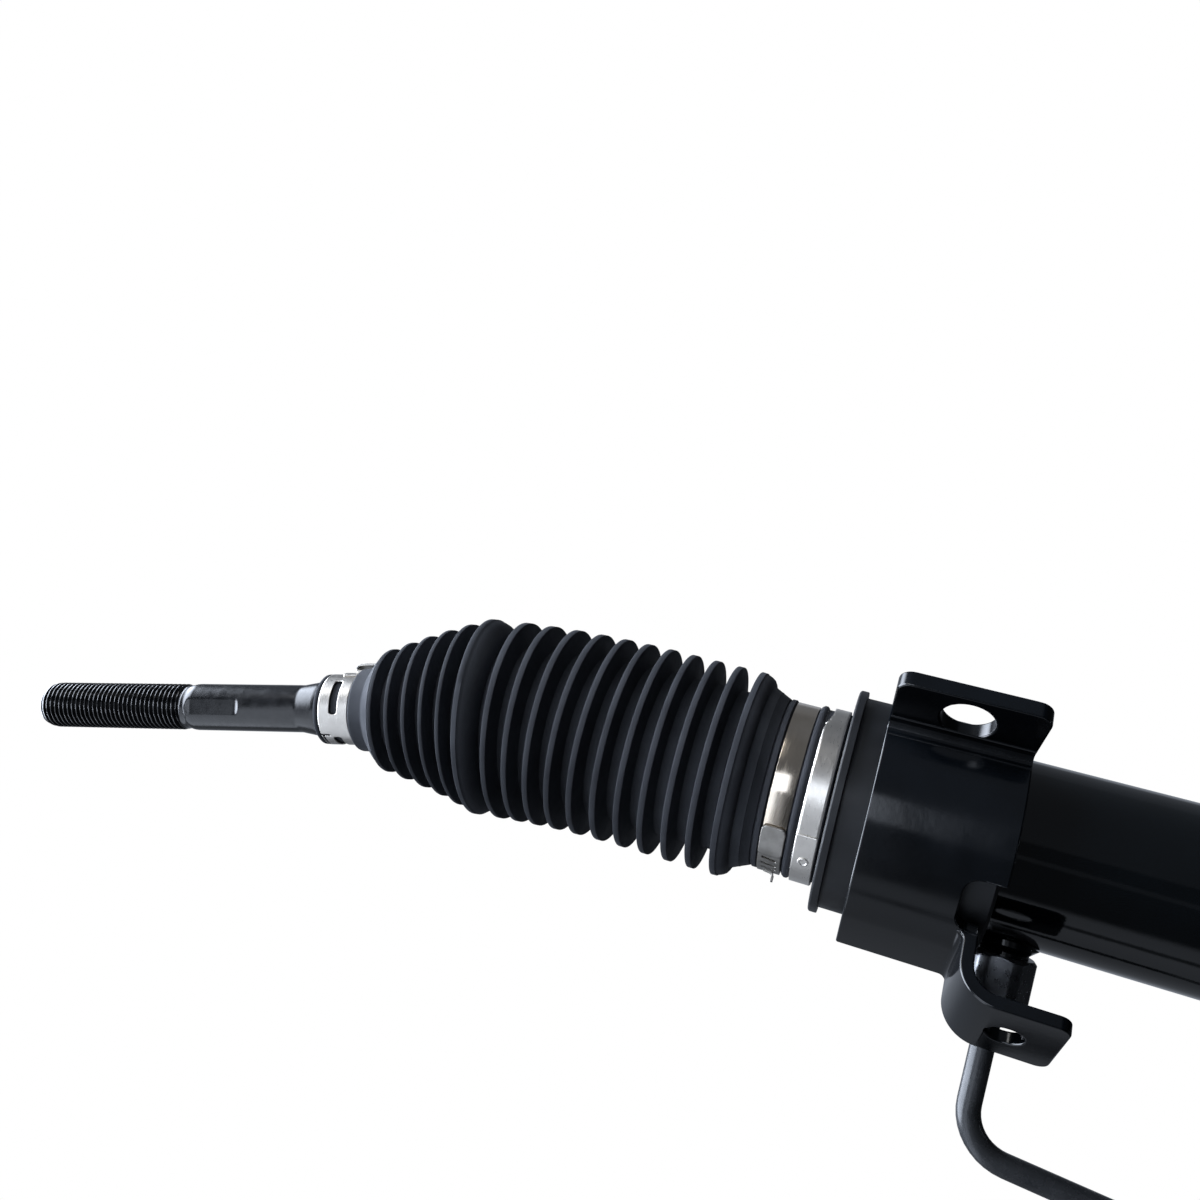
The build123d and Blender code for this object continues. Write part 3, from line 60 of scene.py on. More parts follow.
rack_axis = np.array([0.0, 0.0394, -0.006])
along_rack = np.array([1.0, 0.0, 0.0])
tube_radius = 0.0225
tube_bore = 0.01905


def finish_mesh(name, points, faces, sharp_degrees=32):
    """Mesh object from a point array and a face list: doubles merged, faces outwards, and edges
    over the angle kept sharp."""
    mesh = bpy.data.meshes.new(name)
    mesh.from_pydata(points.tolist(), [], faces)
    work = bmesh.new()
    work.from_mesh(mesh)
    bmesh.ops.remove_doubles(work, verts=work.verts, dist=2e-7)
    bmesh.ops.recalc_face_normals(work, faces=work.faces)
    work.to_mesh(mesh)
    work.free()
    mesh.polygons.foreach_set("use_smooth", np.ones(len(mesh.polygons), bool))
    mesh.set_sharp_from_angle(angle=np.radians(sharp_degrees))
    piece = bpy.data.objects.new(name, mesh)
    bpy.context.scene.collection.objects.link(piece)
    return piece


def grid_faces(rows, columns, closed_rows, closed_columns=True):
    """Quads of a grid of points, each joined to its neighbours in the next row and column."""
    r = np.arange(rows if closed_rows else rows - 1)[:, None]
    c = np.arange(columns if closed_columns else columns - 1)[None, :]
    r_next, c_next = (r + 1) % rows, (c + 1) % columns
    corners = [r * columns + c, r * columns + c_next,
               r_next * columns + c_next, r_next * columns + c]
    return np.stack([k + 0 * r + 0 * c for k in corners], -1).reshape(-1, 4).tolist()


def cross_axes(along):
    """The axis as a unit vector, with two unit vectors square to it: level, and nearest to upright."""
    axis = np.array(along, float) / np.linalg.norm(along)
    level = np.cross(axis, (0, 0, 1))
    level = level / np.linalg.norm(level)
    return axis, level, np.cross(level, axis)


def turned(name, outline, start, along, closed=True, turns=128, sharp_degrees=32):
    """Turned form: outline point (d, r) at angle a lies at
    start + d*axis + r*(cos a*level + sin a*upright)."""
    axis, level, upright = cross_axes(along)
    d, r = np.array(outline, float).T
    angle = np.arange(turns) * 2 * np.pi / turns
    spoke = np.outer(np.cos(angle), level) + np.outer(np.sin(angle), upright)
    points = np.array(start) + d[:, None, None] * axis + r[:, None, None] * spoke
    faces = grid_faces(len(d), turns, closed)
    return finish_mesh(name, points.reshape(-1, 3), faces, sharp_degrees)


def rounded(corners, radius, steps=4, closed=True):
    """Outline with arcs for corners: each touches both sides at radius / tan(half the corner's
    angle) from it."""
    corners = np.array(corners, float)
    before = np.roll(corners, 1, 0) - corners
    after = np.roll(corners, -1, 0) - corners
    to_before = np.linalg.norm(before, axis=1, keepdims=True)
    to_after = np.linalg.norm(after, axis=1, keepdims=True)
    before, after = before / to_before, after / to_after
    cosine = (before * after).sum(1, keepdims=True)
    half = np.arccos(np.clip(cosine, -1, 0.9999)) / 2
    half = np.minimum(half, np.pi / 2 - 1e-4)
    radius = np.broadcast_to(np.array(radius, float).reshape(-1, 1), half.shape)
    reach = np.minimum(radius / np.tan(half), 0.45 * np.minimum(to_before, to_after))
    middle = (before + after) / np.linalg.norm(before + after, axis=1, keepdims=True)
    centre = corners + middle * reach / np.cos(half)
    first, last = corners + before * reach - centre, corners + after * reach - centre
    swing = np.pi - 2 * half
    share = np.linspace(0, 1, steps + 1)[None, :, None]
    swing = swing[:, :, None]
    arc = np.sin((1 - share) * swing) * first[:, None] + np.sin(share * swing) * last[:, None]
    arc = arc / np.sin(swing) + centre[:, None]
    if not closed:
        arc[0] = corners[0]
        arc[-1] = corners[-1]
    return arc.reshape(-1, corners.shape[1])


def paint_shader(name, colour, roughness, metallic=0.0):
    """A new material, with its node tree and its Principled shader."""
    material = bpy.data.materials.new(name)
    material.use_nodes = True
    shader = material.node_tree.nodes["Principled BSDF"]
    shader.inputs["Base Color"].default_value = (*colour, 1)
    shader.inputs["Roughness"].default_value = roughness
    shader.inputs["Metallic"].default_value = metallic
    return material, material.node_tree, shader


def grain(tree, scale, detail=3.0, stretch=(1, 1, 1)):
    """Noise over Object coordinates, with the given scale per metre and a stretch per axis."""
    place = tree.nodes.new("ShaderNodeTexCoord")
    mapping = tree.nodes.new("ShaderNodeMapping")
    mapping.inputs["Scale"].default_value = stretch
    noise = tree.nodes.new("ShaderNodeTexNoise")
    noise.inputs["Scale"].default_value = scale
    noise.inputs["Detail"].default_value = detail
    tree.links.new(place.outputs["Object"], mapping.inputs["Vector"])
    tree.links.new(mapping.outputs["Vector"], noise.inputs["Vector"])
    return noise


def spread(tree, noise, low, high, socket, from_low=0.3, from_high=0.7):
    """Feeds a socket with the noise, stretched from its usual span to low..high."""
    ramp = tree.nodes.new("ShaderNodeMapRange")
    ramp.inputs["From Min"].default_value = from_low
    ramp.inputs["From Max"].default_value = from_high
    ramp.inputs["To Min"].default_value = low
    ramp.inputs["To Max"].default_value = high
    tree.links.new(noise.outputs["Fac"], ramp.inputs["Value"])
    tree.links.new(ramp.outputs["Result"], socket)


def relief(tree, shader, noise, strength, distance):
    """Bump from a noise, its height given in metres by distance."""
    bump = tree.nodes.new("ShaderNodeBump")
    bump.inputs["Strength"].default_value = strength
    bump.inputs["Distance"].default_value = distance
    tree.links.new(noise.outputs["Fac"], bump.inputs["Height"])
    tree.links.new(bump.outputs["Normal"], shader.inputs["Normal"])


def tint(tree, shader, noise, dark, light, from_low=0.35, from_high=0.65):
    """Base colour that drifts between two tones with a noise."""
    ramp = tree.nodes.new("ShaderNodeValToRGB")
    ramp.color_ramp.elements[0].position = from_low
    ramp.color_ramp.elements[1].position = from_high
    ramp.color_ramp.elements[0].color = (*dark, 1)
    ramp.color_ramp.elements[1].color = (*light, 1)
    tree.links.new(noise.outputs["Fac"], ramp.inputs["Fac"])
    tree.links.new(ramp.outputs["Color"], shader.inputs["Base Color"])


def black_paint(name, gloss, colour=(0.002, 0.0035, 0.0048), dust=1.25):
    """Black enamel over steel: gloss is its roughness, with orange peel and slightly duller patches."""
    material, tree, shader = paint_shader(name, (0.004, 0.006, 0.008), gloss)
    darker, lighter = (tuple(share * c for c in colour) for share in (0.8, 1.3))
    tint(tree, shader, grain(tree, 55, 4), darker, lighter)
    spread(tree, grain(tree, 120, 5), gloss * 0.85, gloss * dust, shader.inputs["Roughness"])
    relief(tree, shader, grain(tree, 700, 2), 0.03, 0.0003)
    return material


gloss_black = black_paint("gloss_black_paint", 0.07)
tube_low, tube_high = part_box("cylinder_tube")
tube_outline = [
    (tube_low.x, tube_bore), (tube_low.x, tube_radius),
    (tube_high.x, tube_radius), (tube_high.x, tube_bore)]
tube = turned("cylinder_tube_skin", tube_outline, rack_axis, along_rack, turns=192)
tube.data.materials.append(gloss_black)
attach(tube, "housing")
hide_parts("cylinder_tube")

# ---------------------------------------------------------------------------------------------
# End collar: a thicker steel ring welded round the tube's end, which the bracket is welded to.
# Turned from bar, with broken edges, and painted with the tube.
# ---------------------------------------------------------------------------------------------

satin_black = black_paint("satin_black_paint", 0.50, (0.0055, 0.0066, 0.0088))


def merged_copy(node, name, bevel, segments=3, sharp_degrees=30, dissolve_degrees=1.5):
    """A copy of a CAD node with its triangles joined into flat faces and its sharp edges rounded
    by a bevel."""
    mesh = frame["nodes"][node].data.copy()
    mesh.name = name
    work = bmesh.new()
    work.from_mesh(mesh)
    bmesh.ops.remove_doubles(work, verts=work.verts, dist=2e-6)
    limit = np.radians(dissolve_degrees)
    bmesh.ops.dissolve_limit(work, angle_limit=limit, verts=work.verts, edges=work.edges)
    bmesh.ops.recalc_face_normals(work, faces=work.faces)
    work.to_mesh(mesh)
    work.free()
    mesh.materials.clear()
    mesh.polygons.foreach_set("use_smooth", np.ones(len(mesh.polygons), bool))
    if mesh.attributes.get("custom_normal"):
        mesh.attributes.remove(mesh.attributes["custom_normal"])
    mesh.set_sharp_from_angle(angle=np.radians(sharp_degrees))
    piece = bpy.data.objects.new(name, mesh)
    bpy.context.scene.collection.objects.link(piece)
    if bevel > 0:
        edge = piece.modifiers.new("broken_edges", "BEVEL")
        edge.width = bevel
        edge.segments = segments
        edge.limit_method = "ANGLE"
        edge.angle_limit = np.radians(sharp_degrees)
        edge.harden_normals = True
    return piece


collar = merged_copy("end_collar", "end_collar_skin", 0.0003)
collar.data.materials.append(satin_black)
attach(collar, "housing")
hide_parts("end_collar")

# ---------------------------------------------------------------------------------------------
# End plug: the flange that shows between the band and the collar, with the snout for the bellows
# and the nose that reaches into the tube. Turned steel, painted where it shows.
# ---------------------------------------------------------------------------------------------

plug = merged_copy("left_end_plug", "left_end_plug_skin", 0.00025)
plug.data.materials.append(satin_black)
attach(plug, "housing")
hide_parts("left_end_plug")

# ---------------------------------------------------------------------------------------------
# Mounting bracket: one 4 mm steel plate, bent to a saddle round the collar, with a drilled lug at
# the top and a hooked lug with a threaded hole below. Painted semi-gloss black.
# ---------------------------------------------------------------------------------------------

bracket_black = black_paint("bracket_black_paint", 0.15, (0.0028, 0.0042, 0.0062))
bracket = merged_copy("mount_bracket", "mount_bracket_skin", 0.0005)
# the plate's short edges would otherwise hold the bevel back to nothing
bracket.modifiers[0].use_clamp_overlap = False
bracket.data.materials.append(bracket_black)
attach(bracket, "housing")
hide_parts("mount_bracket")

# the bend between the top lug and the saddle: two fine ridges with a shallow hollow between them
root_profile = np.array([
    (0.0046, 0.00010), (0.0046, -0.00012), (0.0050, -0.00030), (0.0054, -0.00030),
    (0.0057, -0.00014), (0.0062, -0.00022), (0.0070, -0.00075), (0.0076, -0.00150),
    (0.0078, -0.00215), (0.0077, -0.00265), (0.00745, -0.0030), (0.00755, -0.0034),
    (0.0080, -0.0036), (0.0086, -0.0034), (0.0088, -0.0010)])
root_outline = rounded(root_profile, 0.00018, 3)
root_x = np.array([-0.0168, 0.0162])
root_count = len(root_outline)
root_points = np.stack([np.repeat(root_x, root_count), np.tile(root_outline[:, 0], 2),
                        np.tile(root_outline[:, 1], 2)], 1)
root_faces = grid_faces(2, root_count, False)
root_faces += [list(range(root_count)), list(range(2 * root_count - 1, root_count - 1, -1))]
root_bead = finish_mesh("bracket_lug_root", root_points, root_faces, 30)
root_bead.data.materials.append(bracket_black)
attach(root_bead, "housing")

# ---------------------------------------------------------------------------------------------
# Bellows: moulded black rubber boots that keep dirt off the inner joints, one at each end. Each
# has a cuff on the housing's snout and seventeen folds, and narrows to a neck on the tie rod.
# ---------------------------------------------------------------------------------------------

band_gap = 0.0007
left_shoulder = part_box("left_band")[1].x + band_gap
right_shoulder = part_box("right_band")[0].x - band_gap
ball_reach = {"left": 0.089, "right": 0.109}
rod_droop = np.radians(12.43)
rod_sweep = np.radians(6.15)
fold_radius = 0.0276
valley_radius = 0.0214
rim_width = 0.0013
first_fold = 0.0251
last_fold_past_ball = 0.0006
straight_folds = 11
bent_folds = 6
bent_start = 0.0095
bent_pitch = 0.0059
small_fold_radius = 0.0178
small_rim_width = 0.0008
bend_length = 0.057
boot_sag = 0.0012
sag_before_ball = 0.039
sag_length = 0.075
neck_radius = 0.01205
seat_radius = 0.00955
boot_end = 0.0599


def end_frame(end):
    """One end's shoulder, outward direction, ball centre and tie-rod direction."""
    side = -1 if end == "left" else 1
    shoulder = rack_axis + [left_shoulder if end == "left" else right_shoulder, 0, 0]
    outward = np.array([float(side), 0, 0])
    rod = np.array([side * np.cos(rod_droop) * np.cos(rod_sweep), np.sin(rod_sweep),
                    -np.sin(rod_droop) * np.cos(rod_sweep)])
    ball = shoulder + outward * ball_reach[end]
    return shoulder, outward, ball, rod / np.linalg.norm(rod)


def fold(crest, radius, foot, rim, shouldered=False):
    """Half outline of one fold: a flat rim with tight edges, and flanks that spread a little down
    to its foot. A shouldered fold slopes away on its inboard side instead."""
    edge = np.array([
        (0.0, 0.0), (0.00009, -0.00003), (0.00016, -0.0001), (0.0002, -0.0003), (0.0003, -0.0016)])
    drop = foot - radius
    flank = np.array([(0.0007, drop + 0.0016), (0.0012, drop + 0.0002)])
    outboard = np.concatenate([edge, flank]) + (rim / 2, 0)
    inboard = outboard
    if shouldered:
        inboard = np.array([
            (0.0, 0.0), (0.0001, -0.00012), (0.0009, -0.00045), (0.0019, -0.0010), (0.0028, -0.0018),
            (0.0036, -0.0029), (0.0041, -0.0043), (0.0043, drop)]) + (rim / 2, 0)
    return (np.concatenate([inboard[::-1] * (-1, 1), outboard]) + (crest, radius)).tolist()


def bellows_outline(end):
    """Outer half outline of a whole bellows, by distance along its axis from the shoulder: cuff,
    folds, dome and neck."""
    reach = ball_reach[end]
    points = [
        [0.0004, 0.0212], [0.0006, 0.0222], [0.0065, 0.0222], [0.0067, 0.0226], [0.0071, 0.02295],
        [0.0078, 0.02295], [0.0084, 0.0225], [0.0086, 0.0216], [0.0149, 0.0216], [0.0150, 0.0223],
        [0.0152, 0.02255], [0.0162, 0.02255], [0.0164, 0.0224], [0.0165, 0.0219], [0.0168, 0.0219],
        [0.0169, 0.0224], [0.0192, 0.02345], [0.0193, 0.0236], [0.0195, 0.0236], [0.0216, 0.0246],
        [0.0217, 0.0251], [0.0219, 0.0257], [0.0223, 0.0263], [0.0230, 0.0268], [0.0238, 0.02715],
        [0.0243, 0.0273], [0.02442, 0.02752]]
    pitch = (reach + last_fold_past_ball - first_fold) / (straight_folds - 1)
    crests = [first_fold + i * pitch for i in range(straight_folds)]
    crests += [reach + bent_start + i * bent_pitch for i in range(bent_folds)]
    taper = [min(max(i - straight_folds, 0) / (bent_folds - 1), 1) for i in range(len(crests))]
    for i, (crest, share) in enumerate(zip(crests, taper)):
        radius = fold_radius + (small_fold_radius - fold_radius) * share
        foot = valley_radius - 0.8 * (fold_radius - radius)
        rim = small_rim_width if i > straight_folds else rim_width
        half = fold(crest, radius, foot, rim, i == straight_folds)
        if i:
            valley = (np.array(points[-1]) + half[0]) / 2
            points.append([valley[0], valley[1] - 0.0001])
        points += half if i else half[len(half) // 2:]
    points = points[:-2] + [
        [reach + 0.0398, 0.0176], [reach + 0.0402, 0.0171], [reach + 0.0412, 0.0161],
        [reach + 0.0424, 0.0147], [reach + 0.0434, 0.0133], [reach + 0.0440, 0.0124],
        [reach + 0.0445, neck_radius + 0.0001], [reach + 0.0476, neck_radius],
        [reach + 0.0481, neck_radius - 0.00015], [reach + 0.0485, neck_radius - 0.0006],
        [reach + 0.0487, 0.0110], [reach + 0.0488, seat_radius], [reach + 0.0584, seat_radius],
        [reach + 0.0586, 0.0101], [reach + 0.0588, 0.01025], [reach + 0.0596, 0.0102],
        [reach + boot_end, 0.0099]]
    return np.array(points)


def bellows_bore(end):
    """Inner half outline: plain inside the cuff, wider past the snout, then narrowing with the
    folds to the rod."""
    reach = ball_reach[end]
    d = np.array([0.0004, 0.0230, 0.0250, reach + 0.0080, reach + 0.0380, reach + 0.0440,
                  reach + 0.0480, reach + boot_end])
    r = np.array([0.0195, 0.0195, 0.0202, 0.0202, 0.0125, 0.0108, 0.0082, 0.0082])
    along = np.unique(np.concatenate([d, np.arange(0.030, reach + 0.046, 0.004)]))
    return np.stack([along, np.interp(along, d, r)], 1)


def boot_axis(end, d):
    """Centre and facing at each distance: facing turns from the rack's line to the rod's by
    3s^2 - 2s^3, and the centre is its running sum, let down by the rubber's own weight."""
    shoulder, outward, _, rod = end_frame(end)
    reach = ball_reach[end]
    fine = np.linspace(0, reach + 0.08, 4001)
    s = np.clip((fine - reach) / bend_length + 0.5, 0, 1)
    lean = (s * s * (3 - 2 * s))[:, None]
    course = outward * (1 - lean) + rod * lean
    steps = np.cumsum((course[1:] + course[:-1]) / 2, 0) * fine[1]
    centre = shoulder + np.concatenate([np.zeros((1, 3)), steps])
    hang = np.sin(np.pi * np.clip((fine - reach + sag_before_ball) / sag_length, 0, 1)) ** 2
    centre = centre - np.outer(hang, (0, 0, boot_sag))
    return (np.stack([np.interp(d, fine, centre[:, k]) for k in range(3)], 1),
            np.stack([np.interp(d, fine, course[:, k]) for k in range(3)], 1))


def bent_rings(outline, end, turns):
    """Rings of the bellows: each is a circle of the outline's radius, square to the boot's axis."""
    centre, facing = boot_axis(end, outline[:, 0])
    facing = facing / np.linalg.norm(facing, axis=1, keepdims=True)
    level = np.cross(facing, (0, 0, 1))
    level = level / np.linalg.norm(level, axis=1, keepdims=True)
    upright = np.cross(level, facing)
    angle = (np.arange(turns) * 2 * np.pi / turns)[None, :, None]
    ring = np.cos(angle) * level[:, None] + np.sin(angle) * upright[:, None]
    return centre[:, None] + outline[:, 1][:, None, None] * ring


def bellows_rubber():
    """Matt black moulded rubber with a faint bloom on it and a fine moulded grain."""
    material, tree, shader = paint_shader("bellows_rubber", (0.029, 0.031, 0.035), 0.60)
    tint(tree, shader, grain(tree, 70, 5), (0.044, 0.0465, 0.053), (0.060, 0.0635, 0.0715))
    spread(tree, grain(tree, 210, 4), 0.66, 0.84, shader.inputs["Roughness"])
    shader.inputs["Specular IOR Level"].default_value = 0.08
    relief(tree, shader, grain(tree, 2600, 3), 0.10, 0.0002)
    return material


rubber = bellows_rubber()
bellows_turns = 144
for end in ("left", "right"):
    shoulder, outward, _, rod = end_frame(end)
    reach = ball_reach[end]
    outer, bore = bellows_outline(end), bellows_bore(end)
    # the boot is split in three where what it follows changes, from the rack to the rod
    cuts = [0.0, reach + 0.0128, reach + 0.0245, 1.0]
    bends = [("housing", "rack", 0.0240, reach + 0.0080),
             ("rack", end + "_swing", reach + 0.0140, reach + 0.0232),
             (end + "_swing", end + "_sweep", reach + 0.0258, reach + 0.0430)]
    for part, (low_cut, high_cut, bend) in enumerate(zip(cuts, cuts[1:], bends)):
        skins = []
        for skin in (outer, bore):
            inside = skin[(skin[:, 0] > low_cut) & (skin[:, 0] < high_cut)]
            ends = [[[c, np.interp(c, skin[:, 0], skin[:, 1])]] if 0 < c < 1 else np.zeros((0, 2))
                    for c in (low_cut, high_cut)]
            skins.append(np.concatenate([ends[0], inside, ends[1]]))
        shell = np.concatenate([skins[0], skins[1][::-1]])
        rings = bent_rings(shell, end, bellows_turns)
        boot = finish_mesh(f"{end}_bellows_{part + 1}", rings.reshape(-1, 3),
                           grid_faces(len(shell), bellows_turns, True), 50)
        boot.data.materials.append(rubber)
        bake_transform(boot)
        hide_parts(f"{end}_bellows")

# ---------------------------------------------------------------------------------------------
# Large clamps: a polished stainless band clamp on each bellows' cuff, with its lock plate, slotted
# saddle and hook, and a second, duller band beside it with a rivet. Both are thin rolled strip.
# ---------------------------------------------------------------------------------------------


def polished_steel():
    """Bright rolled stainless strip with fine scratches along its length."""
    material, tree, shader = paint_shader("polished_stainless", (0.72, 0.63, 0.52), 0.16, 1.0)
    tint(tree, shader, grain(tree, 90, 3), (0.68, 0.59, 0.48), (0.78, 0.69, 0.58))
    spread(tree, grain(tree, 300, 4, (8, 1, 1)), 0.10, 0.24, shader.inputs["Roughness"])
    relief(tree, shader, grain(tree, 1500, 2, (12, 1, 1)), 0.03, 0.0002)
    return material


def zinc_strip(name="satin_zinc", tone=1.0):
    """Satin zinc-coated strip with a brushed grain round the band."""
    middle, dark, light = ([c * tone for c in colour] for colour in (
        (0.84, 0.80, 0.74), (0.78, 0.745, 0.69), (0.90, 0.86, 0.80)))
    material, tree, shader = paint_shader(name, middle, 0.34, 1.0)
    tint(tree, shader, grain(tree, 120, 4), dark, light)
    spread(tree, grain(tree, 500, 4, (10, 1, 1)), 0.27, 0.42, shader.inputs["Roughness"])
    relief(tree, shader, grain(tree, 1800, 2, (14, 1, 1)), 0.06, 0.0002)
    return material


def around(base, along, angle, distance, radius):
    """Points round an axis at an angle from the front (-Y) up towards +Z, a distance and a radius."""
    axis = np.array(along) / np.linalg.norm(along)
    up = np.array([0, 0, 1.0]) - axis * axis[2]
    up = up / np.linalg.norm(up)
    front = np.cross(up, axis)
    front = front * np.sign(-front[1])
    terms = np.broadcast_arrays(angle, distance, radius)
    angle, distance, radius = (np.asarray(term)[..., None] for term in terms)
    spoke = np.cos(angle) * front + np.sin(angle) * up
    return np.array(base) + distance * axis + radius * spoke


def cut_sheet(name, field, arc, width, step, place, thickness, material):
    """Punched sheet: a grid of flat coordinates (u, v), whose squares stay where the field is below
    zero. Points near its zero line are moved onto it along its slope, place wraps the grid to its
    form, and a solidify gives the wall."""
    nudge, least_steepness, snap_reach = 1e-6, 0.2, 0.8 * step
    u, v = np.meshgrid(np.linspace(*arc, int((arc[1] - arc[0]) / step) + 1),
                       np.linspace(*width, int((width[1] - width[0]) / step) + 1), indexing="ij")
    rows, columns = u.shape
    faces = np.array(grid_faces(rows, columns, False, False))
    middle_u, middle_v = u.ravel()[faces].mean(1), v.ravel()[faces].mean(1)
    faces = faces[field(middle_u, middle_v) < 0]
    for _ in range(3):
        f = field(u, v)
        slope_u = (field(u + nudge, v) - field(u - nudge, v)) / (2 * nudge)
        slope_v = (field(u, v + nudge) - field(u, v - nudge)) / (2 * nudge)
        steepness = np.maximum(slope_u**2 + slope_v**2, least_steepness)
        near = np.abs(f) < snap_reach
        u, v = u - near * f * slope_u / steepness, v - near * f * slope_v / steepness
    used, faces = np.unique(faces, return_inverse=True)
    points = place(u, v).reshape(-1, 3)[used]
    sheet = finish_mesh(name, points, faces.reshape(-1, 4).tolist(), 50)
    wall = sheet.modifiers.new("strip_thickness", "SOLIDIFY")
    wall.thickness = thickness
    wall.offset = 0.0
    sheet.data.materials.append(material)
    return sheet


def slot_field(u, v, middle, half_size, corner):
    """Signed distance from a rounded rectangle's edge, below zero inside it."""
    a = np.abs(u - middle[0]) - half_size[0] + corner
    b = np.abs(v - middle[1]) - half_size[1] + corner
    return np.hypot(np.maximum(a, 0), np.maximum(b, 0)) + np.minimum(np.maximum(a, b), 0) - corner


def ribbon(name, path, width, thickness, material):
    """Thin bar along a path of points: at each one a rectangle, its long side along width and its
    short side square to both width and the path."""
    path, width = np.array(path), np.array(width)
    run = np.gradient(path, axis=0)
    across = np.cross(run, width)
    across = across / np.linalg.norm(across, axis=1, keepdims=True) * thickness / 2
    corners = np.stack([path + width / 2 + across, path - width / 2 + across,
                        path - width / 2 - across, path + width / 2 - across], 1)
    faces = grid_faces(len(path), 4, False)
    faces += [[0, 1, 2, 3], [4 * len(path) - k for k in (1, 2, 3, 4)]]
    bar = finish_mesh(name, corners.reshape(-1, 3), faces, 40)
    bar.data.materials.append(material)
    edge = bar.modifiers.new("broken_edges", "BEVEL")
    edge.width = thickness * 0.2
    edge.segments = 2
    return bar


def lock_steel():
    """Dull stamped steel of the locks, with a tumbled mottle."""
    material, tree, shader = paint_shader("stamped_lock_steel", (0.40, 0.38, 0.35), 0.42, 0.9)
    tint(tree, shader, grain(tree, 260, 4), (0.31, 0.295, 0.27), (0.44, 0.42, 0.39))
    spread(tree, grain(tree, 700, 4), 0.34, 0.52, shader.inputs["Roughness"])
    relief(tree, shader, grain(tree, 1600, 3), 0.08, 0.0002)
    return material


stainless = polished_steel()
zinc = zinc_strip()
stamped = lock_steel()
clamp_start, clamp_end = 0.0088, 0.0147
clamp_middle = (clamp_start + clamp_end) / 2
clamp_radius, clamp_bore = 0.0222, 0.0216
lock_arc = np.radians([-82, -58]) * clamp_radius
lock_corner = 0.0013
lock_lift = 0.00045
saddle_arc = np.radians([-112, -80]) * clamp_radius
saddle_slots = (-86, -93, -100)
saddle_slot_half = (0.00045, 0.0019)
saddle_slant = 0.25
saddle_lift = 0.00035
hook_angle = np.radians(-107)
hook_spread = np.array([0.03, -0.03])
pressing_gauge = 0.0006
sheet_margin = 0.0004
band_start, band_end = 0.0009, 0.0063
band_radius = 0.0230
band_inset, band_gauge = 0.00035, 0.0007
band_arc = np.radians([-57, 303]) * band_radius
tongue_from, tongue_to, tongue_ramp = 12, 205, 24
tongue_step = 0.0014
tail_arc = np.radians([-112, -57]) * band_radius
tail_lift, tail_gauge = 0.00012, 0.0003
rivet_angle = np.radians(-77)
rivet_distance = 0.0034
